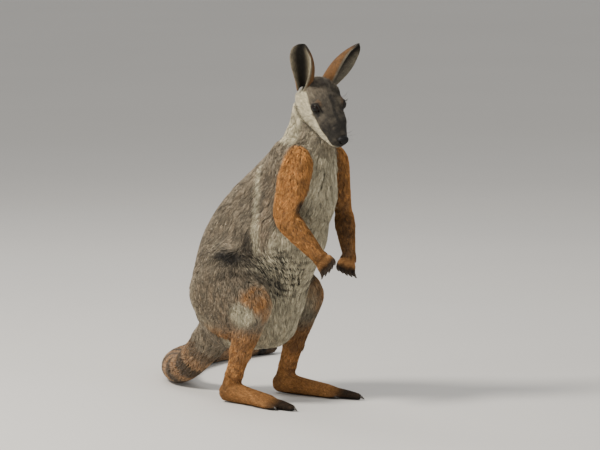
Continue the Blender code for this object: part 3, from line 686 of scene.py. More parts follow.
def flank_pattern(p):
    """The painted shadow where the flank's coat hangs over the thigh, joined with the dark patch at the
    parting, and streaks round the parting: dark below 0 and pale above it.
    """
    ragged = waves(p, 14, 8)
    flat = np.array((0.0, 1.0, 1.0))
    # A shadow painted in a band along the line where the flank's coat hangs over the thigh.
    far, place = line_distance(p * flat, ARC_TOP * flat)
    width = 7 + 3 * ragged + 10 * smooth(0, 8, -above_arc(p))
    shadow_and_patch = (0.55 + 0.15 * ragged) * np.exp(-(far / width) ** 2)
    shadow_and_patch = shadow_and_patch * smooth(1.0, 0.75, place) * smooth(0.0, 0.12, place)
    away = p - np.array(PARTING)
    turn = np.arctan2(-away[:, 2], -away[:, 1])
    reach = np.hypot(away[:, 1], away[:, 2])
    lines = np.sin(46 * turn + 2 * waves(p, 40, 9)) + 0.8 * np.sin(77 * turn + 1.7 + ragged)
    degrees = np.degrees(turn)
    oval = np.linalg.norm((p - (87, -12, 241)) / (60, 33, 15), axis=1)
    patch = smooth(1.65, 0.2, oval + 0.15 * ragged) * (0.95 + 0.4 * lines * smooth(0.35, 0.9, oval))
    # The dark patch round the parting is joined to the painted shadow.
    shadow_and_patch = np.maximum(shadow_and_patch, np.maximum(patch, 0.72 * spot(p, (84, -38, 262), (60, 11, 28))))
    forward = smooth(-35, -10, degrees) * smooth(68, 42, degrees)
    behind = 0.6 * smooth(125, 150, np.abs(degrees)) * smooth(60, 40, reach)
    strength = (forward + behind) * smooth(8, 22, reach) * smooth(105, 70, reach)
    return np.clip(shadow_and_patch * (p[:, 0] > 30), 0, 1), np.clip(lines * 1.6, -0.95, 1) * strength


class Marks:
    """Points of the animal, and how much of each coat colour lies at each: rufous, pale, dark and brown."""

    def __init__(self, part, points):
        self.part, self.kind = part, KINDS[part]
        self.p = own(points)
        self.z = self.p[:, 2]
        self.ragged = waves(self.p, 16, 5) * 0.6 + waves(self.p, 6, 6) * 0.4
        self.degrees = np.degrees(trunk_place(self.p)[0])
        self.colours = np.zeros((4, len(self.p)))


def mark_trunk(m):
    """Cream front, pale stripe on each side, and a dark line down the back."""
    z, ragged, degrees, kind = m.z, m.ragged, m.degrees, m.kind
    _, pale, dark, brown = m.colours
    on = kind == "trunk"
    edge = np.interp(z, (90, 180, 240, 300, 350, 420), (95, 62, 48, 40, 42, 40)) + 7 * ragged
    front = smooth(edge + 9, edge - 9, degrees)
    stripe_at = np.interp(z, (256, 308, 353, 387), (58, 70, 92, 122))
    stripe = band(degrees, stripe_at, 2.6, 4.5 + 2 * ragged) * smooth(228, 262, z) * smooth(402, 380, z)
    groin = smooth(112, 74, degrees + 8 * ragged) * smooth(262, 205, z)
    dorsal = smooth(164, 173, degrees) * smooth(250, 330, z)
    pale[on] = np.clip(np.maximum.reduce([front * 0.75, stripe * 0.75, groin * 0.6]), 0, 1)[on]
    dark[on] = np.clip(dorsal * 0.45 + 0.12 * smooth(70, 95, degrees) * band(z, 300, 40, 50), 0, 1)[on]
    flank = band(degrees, 58, 12, 14) * smooth(240, 300, z)
    brown[on] = np.clip(0.45 + 0.35 * ragged + 0.4 * flank, 0, 1)[on]


def mark_neck(m):
    """Pale buff sides, grey throat, and a dark line down the nape."""
    ragged, degrees, kind = m.ragged, m.degrees, m.kind
    _, pale, dark, brown = m.colours
    on = kind == "neck"
    buff = band(degrees, 118, 34, 18 + 4 * ragged)
    pale[on] = np.clip(0.95 * buff + 0.30 * smooth(80, 40, degrees), 0, 1)[on]
    dark[on] = (0.5 * smooth(160, 172, degrees))[on]
    brown[on] = (0.35 + 0.3 * ragged)[on]


def mark_head(m):
    """A dark mask above a pale cheek, with a darker middle line, and painted shade where the head lies inside
    each ear.
    """
    p, ragged, kind = m.p, m.ragged, m.kind
    rufous, pale, dark, brown = m.colours
    on = kind == "head"
    h = in_head(p)
    x, y = np.abs(h[:, 0]), h[:, 1]
    line = np.interp(y, (-104, -96, -84, -62, -42, -28, -16, 4, 18, 30),
                     (-13, -13, -12.5, -11, -7, -2.0, -0.5, 6, 13, 10))
    cheek = smooth(line + 0.9, line - 1.3, h[:, 2] + 0.8 * ragged)
    edge_line = cheek * np.exp(-((h[:, 2] - line + 3.0) / 3.2) ** 2) * smooth(-88, -76, y) * smooth(0, -14, y)
    throat = smooth(-25, -33, h[:, 2]) * smooth(-60, -30, y)
    behind = smooth(2, 14, y) * smooth(17, 21, x)
    pale[on] = np.clip(np.maximum(cheek * (0.92 - 0.45 * throat), edge_line), 0, 1)[on]
    pale[on] = np.maximum(pale, 0.75 * behind * smooth(20, 8, h[:, 2]))[on]
    mask = (1 - cheek) * (0.79 + 0.20 * smooth(-45, -78, y) - 0.34 * smooth(-38, 2, y))
    mask = mask + 0.16 * ragged * (1 - cheek)
    middle = np.exp(-(x / 3.5) ** 2) * smooth(-78, -55, y) * 0.20
    lips = smooth(-88, -97, y) * 0.8
    around = sum(smooth(2.0, 1.3, slit_share(h, sign)) * (from_eye(h, sign) < EYE_RADIUS + 8)
                 for _, sign in SIDES)
    brow = sum(spot(h, mirrored((24, -31, 19), sign), (7, 9, 4)) for _, sign in SIDES)
    # Painted shade down the ear canals, where the head lies inside each ear's tube.
    canal_shade = sum(in_canal(p, *ear)[0] for ear in SIDES)
    dark[on] = np.clip(np.maximum.reduce([mask + middle, lips, 0.98 * around, canal_shade]), 0, 1)[on]
    pale[on] = (pale * (1 - 0.9 * np.clip(around + canal_shade, 0, 1)))[on]
    brown[on] = np.clip(0.25 + 0.25 * ragged + 0.8 * brow, 0, 1)[on]
    rufous[on] = (0.35 * brow)[on]
    dark[on] = np.maximum(dark, 0.60 * brow)[on]


def mark_arms(m):
    """Rufous arms with painted shade on their inner sides and over the far arm, dark curls and painted crease
    shade in the bend, darker below the elbow, and hands that turn black.
    """
    p, z, ragged, kind = m.p, m.z, m.ragged, m.kind
    rufous, _, dark, brown = m.colours
    near_arm = p[:, 0] < -4
    on = np.isin(kind, ("upper", "forearm"))
    rufous[on] = 0.95
    for side, sign in SIDES:
        shoulder, elbow, wrist, _ = ARMS[side]
        # The bend: dark curls in the crook of the elbow, with painted shade in its crease.
        bend = spot(p, elbow + mirrored((-10, -25, 20), sign), (13, 15, 15))
        edge = np.interp(z, (330, 362, 430), (-80, -95, -124)) + shoulder[1] + 120
        top = smooth(2, 11, p[:, 1] - edge - 3 * ragged)
        end = smooth(24, 3, np.linalg.norm(p - wrist, axis=1))
        own_side = on & (np.sign(p[:, 0] + 4) == sign)
        rufous[own_side] = np.clip((0.95 - 0.35 * bend) * (1 - top), 0, 1)[own_side]
        brown[own_side] = (0.35 + 0.3 * ragged)[own_side]
        bend = bend * np.where(near_arm, 1.0, 0.35)
        # Painted shade on the inner side of each arm and over the whole far (left) arm, and darker below the
        # elbow.
        axis = np.interp(z, (wrist[2], elbow[2], shoulder[2]), (wrist[0], elbow[0], shoulder[0]))
        inner_side_shade = smooth(-2, 13, (axis - p[:, 0]) * sign)
        lower = 0.30 * inner_side_shade + 0.28 * smooth(elbow[2] + 30, elbow[2] - 20, z)
        lower = lower + (0.15 if side == "left" else 0)
        shade = 0.6 * bend * (1 + ragged) + 0.15 * end + lower + 0.05 * ragged
        dark[own_side] = np.clip(shade, 0, 1)[own_side]
    for side, sign in SIDES:
        _, _, wrist, fingers = ARMS[side]
        on = (kind == "hand") & (np.sign(p[:, 0] + 4) == sign)
        reach = (p - wrist) @ unit(fingers) + 2 * ragged
        rufous[on] = 0.85
        dark[on] = (0.18 + 0.78 * smooth(13, 23, reach))[on]


def mark_legs(m):
    """Grey thighs with a rufous knee and a pale patch, painted shade over the far thigh, rufous shanks and
    feet with painted shade at the heel, dark toes.
    """
    p, z, ragged, kind = m.p, m.z, m.ragged, m.kind
    rufous, pale, dark, brown = m.colours
    for side, sign in SIDES:
        _, knee, ankle = LEGS[side]
        on = (kind == "thigh") & (np.sign(p[:, 0]) == sign)
        near_knee = np.maximum(spot(p, knee + mirrored((8, -4, 10), sign), (38, 32, 23)),
                               0.8 * spot(p, knee + mirrored((-2, -22, -17), sign), (16, 16, 24)))
        hip_bar = spot(p, knee + mirrored((22, 22, -14), sign), (34, 27, 20))
        shin = smooth(140, 105, z)
        inner = smooth(10, -14, (p[:, 0] - knee[0]) * sign)
        above = smooth(-3, 8, above_arc(p))
        rufous[on] = np.clip(0.58 * near_knee * (1 + 0.6 * ragged) + 0.75 * shin - 0.65 * hip_bar, 0, 1)[on]
        pale[on] = np.clip(0.95 * hip_bar + 0.4 * inner * (1 - shin), 0, 1)[on]
        # The far (left) thigh is darker than the near one: painted shade.
        dark[on] = 0.10 if side == "right" else 0.28
        brown[on] = np.clip(0.85 + 0.3 * ragged - 0.55 * above, 0, 1)[on]
        on = np.isin(kind, ("shank", "foot")) & (np.sign(p[:, 0]) == sign)
        rufous[on] = 0.85
        # Painted shade at the back of the heel.
        heel_shade = spot(p, ankle + np.array((0, 6, -4)), (20, 16, 22))
        toes = smooth(-92, -128, p[:, 1] - ankle[1])
        sole = smooth(5, 1.5, z)
        brown[on] = 0.5
        dark[on] = np.clip(0.35 * heel_shade + 0.85 * toes + 0.8 * sole + 0.10, 0, 1)[on]


def mark_flank(m):
    """The painted shadow where the flank's coat hangs over the thigh, the dark patch at the parting, and the
    streaks that run out of it, on trunk and thigh alike.
    """
    p, z, kind = m.p, m.z, m.kind
    _, pale, dark, _ = m.colours
    left = p[:, 0] > 0
    mirror = np.stack([np.abs(p[:, 0]) + 9 * left, p[:, 1] - 19 * left, z - 4 * left], 1)
    shadow_and_patch, streak = flank_pattern(mirror)
    on = np.isin(kind, ("trunk", "thigh"))
    streak = streak * np.where(kind == "thigh", 0.25, 1.0)
    # The painted shadow and the patch darken the coat here and take away its pale.
    dark[on] = np.clip(np.maximum(dark, shadow_and_patch) + np.clip(-streak, 0, 1), 0, 1)[on]
    pale[on] = np.clip((pale + 0.75 * np.clip(streak, 0, 1)) * (1 - shadow_and_patch), 0, 1)[on]


def mark_tail(m):
    """Rings of dark brown on golden brown, dark at the end."""
    p, ragged, kind = m.p, m.ragged, m.kind
    rufous, _, dark, brown = m.colours
    on = kind == "tail"
    place, _ = tail_place(p)
    ring = smooth(-0.1, 0.5, np.sin(2 * math.pi * place * 11 + 0.5 * ragged)) * smooth(0.14, 0.26, place)
    rufous[on] = np.clip(0.42 * smooth(0.08, 0.3, place) * (1 - 0.5 * ring), 0, 1)[on]
    brown[on] = np.clip(0.7 + 0.3 * ragged, 0, 1)[on]
    dark[on] = np.clip(0.62 * ring + 0.75 * smooth(0.86, 0.95, place), 0, 1)[on]


def mark_ears(m):
    """A rufous back with a dark tip, and a hollow painted near-black as shade, with pale hairs and a pale
    rim.
    """
    p, part = m.p, m.part
    rufous, pale, dark, brown = m.colours
    for side, sign in SIDES:
        on = part == NAMES.index(f"ear_{side}")
        if not on.any():
            continue
        share, across, hollow = ear_place(p[on], side, sign)
        inner = hollow.astype(float)
        tip = smooth(0.80, 0.97, share)
        near = side == "right"
        hairs_from, hairs_full = (0.38, -0.05) if near else (0.0, -0.45)
        lining_from, lining_full = (0.60, 0.95) if near else (0.40, 0.85)
        hairs = inner * smooth(hairs_from, hairs_full, across) * smooth(0.97, 0.78, share)
        lining = inner * smooth(lining_from, lining_full, across) * smooth(0.97, 0.85, share)
        rufous[on] = (1 - inner) * (0.95 - 0.8 * tip) * (1 - 0.5 * smooth(-0.80, -1.0, across))
        rim = (1 - inner) * smooth(-0.86, -0.97, across) * smooth(0.9, 0.7, share)
        pale[on] = np.clip((0.70 if near else 0.80) * hairs + 0.35 * lining + 0.8 * rim, 0, 1)
        # The hollow's near-black is painted shade, lightened where the pale hairs and lining grow.
        hollow_shade, back_shade = 1 - 0.98 * hairs - 0.55 * lining, 0.64 + 0.3 * tip
        dark[on] = np.clip(inner * hollow_shade + (1 - inner) * back_shade, 0, 1)
        brown[on] = 0.3


def markings(part, points):
    """How much of each coat colour lies at points: rufous, pale, dark and brown, each from 0 to 1."""
    m = Marks(part, points)
    for mark in (mark_trunk, mark_neck, mark_head, mark_arms, mark_legs, mark_flank, mark_tail, mark_ears):
        mark(m)
    return np.stack(m.colours, 1)


def ear_place(p, side, sign):
    """Where points lie on an ear: 0 to 1 up it, -1 to 1 across it from the inner to the outer margin, and
    whether they are on its hollow face.
    """
    root, wide, opening, along = ear_basis(side, sign)
    e = p - root
    share = np.clip(e @ along / EAR_LENGTH, 0, 1)
    x, y = (e @ wide) * sign, -(e @ opening)
    radius, half_angle, lean = ear_arc(share, x > 0)
    across = np.clip(np.arctan2(x, y - (lean - radius)) / half_angle, -1, 1)
    return share, across, np.hypot(x, y - (lean - radius)) < radius


# ---------------------------------------------------------------- materials
class Shader:
    """A Principled material and short ways to add nodes to it."""

    def __init__(self, name):
        self.material = bpy.data.materials.new(name)
        self.material.use_nodes = True
        self.nodes = self.material.node_tree.nodes
        self.links = self.material.node_tree.links
        self.main = self.nodes["Principled BSDF"]

    def node(self, kind, inputs=None, **settings):
        node = self.nodes.new("ShaderNode" + kind)
        for key, value in settings.items():
            setattr(node, key, value)
        for key, value in (inputs or {}).items():
            self.put(node.inputs[key], value)
        return node

    def put(self, socket, value):
        if isinstance(value, bpy.types.NodeSocket):
            self.links.new(value, socket)
        elif isinstance(value, tuple) and len(value) == 3 and socket.type == "RGBA":
            socket.default_value = (*value, 1)
        else:
            socket.default_value = value

    def channels(self, name):
        """The red, green and blue of a colour attribute."""
        colour = self.node("Attribute", attribute_name=name).outputs["Color"]
        return self.node("SeparateColor", {"Color": colour}).outputs

    def mix(self, share, first, second, blend="MIX"):
        node = self.node("Mix", data_type="RGBA", blend_type=blend, clamp_factor=True)
        self.put(node.inputs[0], share)
        self.put(node.inputs[6], first)
        self.put(node.inputs[7], second)
        return node.outputs[2]

    def math(self, kind, a, b=0.5, c=0.0, clamp=False):
        node = self.node("Math", operation=kind, use_clamp=clamp)
        for socket, value in zip(node.inputs, (a, b, c)):
            self.put(socket, value)
        return node.outputs[0]

    def ranged(self, value, low, high, to_low=0.0, to_high=1.0):
        node = self.node("MapRange", {"Value": value, "From Min": low, "From Max": high,
                                      "To Min": to_low, "To Max": to_high})
        return node.outputs[0]

    def noise(self, scale, detail=3.0, rough=0.55):
        place = self.node("TexCoord").outputs["Object"]
        node = self.node("TexNoise", {"Vector": place, "Scale": scale, "Detail": detail, "Roughness": rough})
        return node.outputs["Fac"]

    def bump(self, height, strength, distance):
        node = self.node("Bump", {"Height": height, "Strength": strength, "Distance": distance})
        self.links.new(node.outputs[0], self.main.inputs["Normal"])

    def finish(self, colour=None, roughness=None):
        if colour is not None:
            self.links.new(colour, self.main.inputs["Base Color"])
        if roughness is not None:
            self.links.new(roughness, self.main.inputs["Roughness"])
        return self.material


def coat_material(name):
    """Fur: the markings choose among five coat colours, and each tuft has its own tone, darker at its root:
    darker underfur, and painted shade deep in the coat.
    """
    s = Shader(name)
    s.main.inputs["Roughness"].default_value = 0.72
    s.main.inputs["Specular IOR Level"].default_value = 0.2
    s.main.inputs["Sheen Weight"].default_value = 0.06
    s.main.inputs["Sheen Roughness"].default_value = 0.5
    rufous, pale, dark = s.channels("marks")
    brownish = s.node("Attribute", attribute_name="marks").outputs["Alpha"]
    along, own_shade, clump = s.channels("strand")
    broad, fine = s.noise(38, 3), s.noise(420, 2)
    blotch = s.math("MULTIPLY_ADD", broad, 0.9, s.math("MULTIPLY_ADD", clump, 0.35, -0.3), clamp=True)
    tone = s.math("MULTIPLY_ADD", own_shade, 0.75, s.math("MULTIPLY", fine, 0.3), clamp=True)
    grey = s.mix(tone, (0.125, 0.104, 0.074), (0.420, 0.355, 0.258))
    brown = s.mix(tone, (0.100, 0.066, 0.038), (0.330, 0.230, 0.140))
    red = s.mix(tone, (0.270, 0.098, 0.020), (0.780, 0.370, 0.105))
    cream = s.mix(tone, (0.400, 0.350, 0.235), (0.820, 0.755, 0.550))
    black = s.mix(tone, (0.004, 0.0035, 0.003), (0.024, 0.020, 0.016))
    colour = s.mix(s.math("MULTIPLY", brownish, blotch, clamp=True), grey, brown)
    colour = s.mix(rufous, colour, red)
    colour = s.mix(pale, colour, cream)
    colour = s.mix(dark, colour, black)
    # Darker toward each tuft's root: darker underfur, and painted shade deep in the coat between the tufts.
    depth = s.ranged(along, 0.0, 0.80, 0.50, 1.10)
    shade = s.math("MULTIPLY", depth, s.ranged(clump, 0.0, 1.0, 0.64, 1.32))
    colour = s.mix(1.0, colour, s.node("CombineColor", {0: shade, 1: shade, 2: shade}).outputs[0], "MULTIPLY")
    s.bump(fine, 0.25, 0.0006)
    return s.finish(colour)


def eye_material():
    """A wet, very dark brown eye with a black pupil."""
    s = Shader("eye")
    s.main.inputs["Roughness"].default_value = 0.05
    s.main.inputs["Specular IOR Level"].default_value = 0.2
    ring = s.channels("ring")[0]
    fleck = s.noise(900, 4, 0.6)
    edge = s.math("MULTIPLY_ADD", fleck, 0.05, ring)
    iris = s.mix(fleck, (0.005, 0.0025, 0.0015), (0.012, 0.0055, 0.0025))
    colour = s.mix(s.ranged(edge, 0.15, 0.19), (0.002, 0.002, 0.002), iris)
    colour = s.mix(s.ranged(edge, 0.33, 0.40), colour, (0.003, 0.002, 0.002))
    return s.finish(colour)


def nose_material():
    """Bare black skin with a fine grain, slightly moist."""
    s = Shader("nose")
    s.main.inputs["Specular IOR Level"].default_value = 0.22
    place = s.node("TexCoord").outputs["Object"]
    grain = s.node("TexVoronoi", {"Vector": place, "Scale": 1500.0}, feature="SMOOTH_F1").outputs["Distance"]
    patch = s.noise(300, 3)
    colour = s.mix(patch, (0.003, 0.003, 0.003), (0.010, 0.009, 0.009))
    s.bump(grain, 0.5, 0.0004)
    return s.finish(colour, s.ranged(patch, 0.3, 0.7, 0.38, 0.55))


def claw_material():
    """Dark horn, streaked along its length."""
    s = Shader("claw")
    s.main.inputs["Specular IOR Level"].default_value = 0.5
    streak = s.noise(700, 4)
    colour = s.mix(streak, (0.010, 0.009, 0.008), (0.060, 0.050, 0.042))
    s.bump(streak, 0.3, 0.0003)
    return s.finish(colour, s.ranged(streak, 0.3, 0.7, 0.28, 0.45))


def lid_material():
    """Bare black skin at the rim of the lids."""
    s = Shader("lid_rim")
    s.main.inputs["Specular IOR Level"].default_value = 0.3
    wrinkle = s.noise(1100, 3)
    colour = s.mix(wrinkle, (0.004, 0.0035, 0.003), (0.014, 0.011, 0.009))
    s.bump(wrinkle, 0.5, 0.0003)
    return s.finish(colour, s.ranged(wrinkle, 0.3, 0.7, 0.35, 0.55))


def whisker_material():
    s = Shader("whisker")
    along = s.channels("strand")[0]
    s.main.inputs["Roughness"].default_value = 0.4
    return s.finish(s.mix(along, (0.020, 0.018, 0.016), (0.075, 0.066, 0.055)))


def floor_material():
    s = Shader("studio_floor")
    s.main.inputs["Roughness"].default_value = 0.85
    s.main.inputs["Specular IOR Level"].default_value = 0.2
    cloud = s.noise(1.3, 2)
    return s.finish(s.mix(cloud, (0.62, 0.61, 0.59), (0.66, 0.65, 0.63)))


# ---------------------------------------------------------------- eyes, nose, claws, whiskers
def grid_triangles(rows, columns, wrap):
    """Triangles of a grid of points, closed round its columns if wrap is set."""
    r, c = np.meshgrid(np.arange(rows - 1), np.arange(columns if wrap else columns - 1), indexing="ij")
    after = (c + 1) % columns
    a, b = (r * columns + c).ravel(), (r * columns + after).ravel()
    d, e = ((r + 1) * columns + c).ravel(), ((r + 1) * columns + after).ravel()
    return np.concatenate([np.stack([a, b, e], 1), np.stack([a, e, d], 1)])


def ball(rings, sides):
    """A unit ball's points, its pole along z, and its triangles."""
    polar = np.linspace(0.004, math.pi - 0.004, rings)
    turn = np.arange(sides) * 2 * math.pi / sides
    points = np.stack([np.outer(np.sin(polar), np.cos(turn)), np.outer(np.sin(polar), np.sin(turn)),
                       np.outer(np.cos(polar), np.ones(sides))], -1).reshape(-1, 3)
    triangles = grid_triangles(rings, sides, True)[:, ::-1]
    caps = [[k, (k + 1) % sides, sides * rings] for k in range(sides)]
    last = sides * (rings - 1)
    caps += [[last + (k + 1) % sides, last + k, sides * rings + 1] for k in range(sides)]
    points = np.concatenate([points, [(0, 0, 1), (0, 0, -1)]])
    return points, np.concatenate([triangles, np.array(caps)])


def add_eyes(material, rim_material):
    """The eyeballs, and the bare rim round the slit of each."""
    points, triangles = ball(56, 64)
    angle = np.arccos(np.clip(points[:, 2], -1, 1))
    for side, sign in SIDES:
        centre, along, up, gaze = eye_frame(sign)
        size = EYE_RADIUS * (1 + 0.045 * smooth(math.radians(58), math.radians(20), angle))
        local = points * size[:, None]
        placed = centre + local[:, :1] * along + local[:, 1:2] * up + local[:, 2:] * gaze
        turned = triangles if np.dot(np.cross(along, up), gaze) > 0 else triangles[:, ::-1]
        mesh = mesh_of(f"eye_{side}", from_own(from_head(placed)), turned)
        set_grey(mesh, "ring", angle / math.pi)
        shown(f"eyeball_{side}", mesh, material, "eye", f"eye_{side}")

        count, sides = 84, 10
        t = np.arange(count) * 2 * math.pi / count
        tall = np.where(np.sin(t) > 0, SLIT[1], SLIT[2])
        way = unit(np.tan(SLIT[0] * 0.99 * np.cos(t))[:, None] * along
                   + np.tan(tall * 0.99 * np.sin(t))[:, None] * up + gaze)
        line = centre + way * (EYE_RADIUS + 0.25)
        ahead = unit(np.roll(line, -1, 0) - np.roll(line, 1, 0))
        across = np.cross(ahead, way)
        thick = 0.75 + 0.2 * np.maximum(np.sin(t), 0)
        rim = tube_rings(line, across * 1.25, way, thick, sides)
        loop = grid_triangles(count + 1, sides, True) % (count * sides)
        mesh = mesh_of(f"lid_{side}", from_own(from_head(rim.reshape(-1, 3))), loop)
        shown(f"lid_rim_{side}", mesh, rim_material, "nose_skin")


def add_nose(material):
    """The nose pad, with two comma-shaped nostrils and the groove below them."""
    points, triangles = ball(90, 110)
    local = np.stack([points[:, 0], -points[:, 2], points[:, 1]], 1)
    x, y, z = local.T
    width = 1 + 0.10 * smooth(-0.2, 0.7, z) - 0.22 * smooth(-0.1, -0.9, z)
    shape = local * np.array(NOSE_RADII) * 0.99
    shape[:, 0] *= width
    front = smooth(0.2, 0.7, -y)
    for _, sign in SIDES:
        far, place = line_distance(shape * (1, 0, 1), mirrored(NOSTRIL, sign))
        shape[:, 1] += 2.6 * np.exp(-(far / (1.35 - 0.5 * place)) ** 2) * front
        shape[:, 1] -= 0.7 * np.exp(-((far - 2.3) / 1.1) ** 2) * front
    shape[:, 1] += 0.9 * np.exp(-(x * NOSE_RADII[0] / 0.7) ** 2) * smooth(0.1, -0.3, z) * front
    placed = from_own(from_head(shape + np.array(NOSE_AT)))
    shown("nose_pad", mesh_of("nose_pad", placed, outward(placed, triangles)), material, "nose_skin", "nose")


def add_claws(material):
    """The claws of each paw and foot, rounded from their solids."""
    for group, start in (("hand_claws", "hand_claw"), ("foot_claws", "claw")):
        for side, _ in SIDES:
            names = [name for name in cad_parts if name.startswith(start) and side in name]
            bm = bmesh.new()
            for name in names:
                bm.from_mesh(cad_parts[name].data)
            bmesh.ops.remove_doubles(bm, verts=bm.verts, dist=0.005 * MM)
            mesh = bpy.data.meshes.new(group)
            bm.to_mesh(mesh)
            bm.free()
            obj = scratch(mesh)
            swell(obj, 0.25)
            round_off = obj.modifiers.new("round", "SUBSURF")
            round_off.levels = 3
            smoothed = evaluated(obj)
            bpy.data.objects.remove(obj)
            smoothed.shade_smooth()
            shown(f"{group}_{side}", smoothed, material, "dark_claw", *names)


def hairs(lines, thick, sides=4):
    """Thin tapered hairs along lines of points, as points, triangles and how far along each point is."""
    points, triangles, along = [], [], []
    for line, width in zip(lines, thick):
        steps = len(line)
        ahead = unit(np.gradient(line, axis=0))
        aside = unit(np.cross(ahead, np.array((0.31, 0.62, 0.72))))
        above = np.cross(aside, ahead)
        taper = width / 2 * (1 - np.linspace(0, 1, steps)) ** 0.6
        ring = tube_rings(line, aside, above, taper + 0.02, sides)
        base = sum(len(block) for block in points)
        points.append(ring.reshape(-1, 3))
        triangles.append(grid_triangles(steps, sides, True) + base)
        end = base + (steps - 1) * sides
        triangles.append(np.array([[end, end + 1, end + 2], [end, end + 2, end + 3]]))
        triangles.append(np.array([[base, base + 2, base + 1], [base, base + 3, base + 2]]))
        along.append(np.repeat(np.linspace(0, 1, steps), sides))
    return np.concatenate(points), np.concatenate(triangles), np.concatenate(along)


def add_whiskers(material):
    """Whiskers on the muzzle and brows, and lashes on the upper lids."""
    lines, thick = [], []
    for _, sign in SIDES:
        side = np.array((sign, 1, 1))
        for row in range(4):
            for step in range(5):
                root = np.array((9.5 + 1.2 * step, -90 + 5.2 * step + 1.5 * row, -4.0 - 2.6 * row)) * side
                way = unit(np.array((0.95 - 0.05 * step, -0.25 + 0.22 * step, -0.16 - 0.10 * row)) * side
                           + rng.normal(0, 0.06, 3))
                length = 22 + 4.2 * step + rng.uniform(-3, 3)
                t = np.linspace(0, 1, 9)[:, None]
                droop = np.array((0, 0.30, -0.26)) * (t ** 2) * length
                lines.append(root - way * 2 + way * t * length + droop)
                thick.append(0.30)
        for k in range(4):
            root = np.array((17 + 1.5 * k, -34 + 3 * k, 22)) * side
            way = unit(np.array((0.45 + 0.1 * k, -0.25, 0.85)) * side + rng.normal(0, 0.08, 3))
            t = np.linspace(0, 1, 8)[:, None]
            lines.append(root - way * 2 + way * t * 19 + np.array((0, 0.35, -0.1)) * (t ** 2) * 19)
            thick.append(0.24)
        centre, along, up, gaze = eye_frame(sign)
        for k in range(26):
            t = math.radians(22 + 136 * (k + rng.uniform(-0.3, 0.3)) / 25)
            way = unit(math.tan(SLIT[0] * math.cos(t)) * along + math.tan(SLIT[1] * math.sin(t)) * up + gaze)
            root = centre + way * (EYE_RADIUS + 1.0)
            out = 0.55 * way + 0.75 * gaze + 0.35 * up + 0.35 * math.cos(t) * along
            out = unit(out + rng.normal(0, 0.07, 3))
            s = np.linspace(0, 1, 6)[:, None]
            lines.append(root + out * s * 5.2 + up * (s ** 2) * 1.6 - np.array((0, 0, 0.4)))
            thick.append(0.26)
    points, triangles, along = hairs(lines, thick)
    mesh = mesh_of("whiskers", from_own(from_head(points)), triangles)
    set_grey(mesh, "strand", along)
    shown("whiskers", mesh, material, "dark_claw")


# ---------------------------------------------------------------- the coat
# Each piece of coat: its slot, the parts it covers, and for the trunk which of its four sides.
COATS = {
    "fur_trunk_back": ("grey_coat", ("trunk",), "back"),
    "fur_trunk_front": ("grey_coat", ("trunk",), "front"),
    "fur_trunk_left": ("grey_coat", ("trunk",), "left"),
    "fur_trunk_right": ("grey_coat", ("trunk",), "right"),
    "fur_neck": ("grey_coat", ("neck",), ""),
    "fur_head": ("face_coat", ("head",), ""),
    "fur_ears": ("face_coat", ("ear_left", "ear_right"), ""),
    "fur_thighs": ("grey_coat", ("thigh_left", "thigh_right"), ""),
    "fur_arm_left": ("rufous_coat", ("upper_arm_left", "forearm_left", "hand_left"), ""),
    "fur_arm_right": ("rufous_coat", ("upper_arm_right", "forearm_right", "hand_right"), ""),
    "fur_leg_left": ("rufous_coat", ("shank_left", "foot_left"), ""),
    "fur_leg_right": ("rufous_coat", ("shank_right", "foot_right"), ""),
    "fur_tail": ("tail_coat", ("tail_1", "tail_2", "tail_3"), ""),
}
SHORT = ("head", "ear", "hand", "foot")         # parts whose tufts are single short spikes
# For each kind of part: how far its tufts stray from the lie and how far waves swing them, in degrees, how
# strongly they gather into locks, and how wide a lock is in millimetres.
HABIT = {
    "trunk": (8, 7, 0.40, 7.0),
    "neck": (9, 8, 0.40, 5.0),
    "head": (10, 5, 0.25, 2.4),
    "tail": (8, 8, 0.4, 5.0),
    "thigh": (8, 6, 0.35, 6.0),
    "shank": (9, 7, 0.3, 4.0),
    "foot": (9, 5, 0.2, 2.4),
    "upper": (14, 20, 0.45, 6.5),
    "forearm": (12, 16, 0.40, 4.5),
    "hand": (9, 5, 0.2, 2.4),
    "ear": (9, 5, 0.2, 2.2),
}
PATCH = 0.003                   # how large each tuft's patch is on the map


def turned(ways, normals, degrees):
    """Directions turned about the normals."""
    angle = np.radians(degrees)[:, None]
    return ways * np.cos(angle) + np.cross(normals, ways) * np.sin(angle)


def round_line(p, line):
    """Where points lie about a line: 0 to 1 along it, and 0 to 1 round it."""
    line = np.asarray(line, float)
    _, place = line_distance(p, line)
    spans = len(line) - 1
    step = np.clip((place * spans).astype(int), 0, spans - 1)
    ways = unit(np.diff(line, axis=0))
    across = np.cross(ways[0], (0.3, 0.1, 1.0))
    aside = unit(across - ways * (ways @ across)[:, None])
    above = np.cross(ways, aside)
    away = p - line[step] - ways[step] * dot(p - line[step], ways[step])[:, None]
    angle = np.arctan2(dot(away, above[step]), dot(away, aside[step]))
    return place, angle / (2 * math.pi) + 0.5


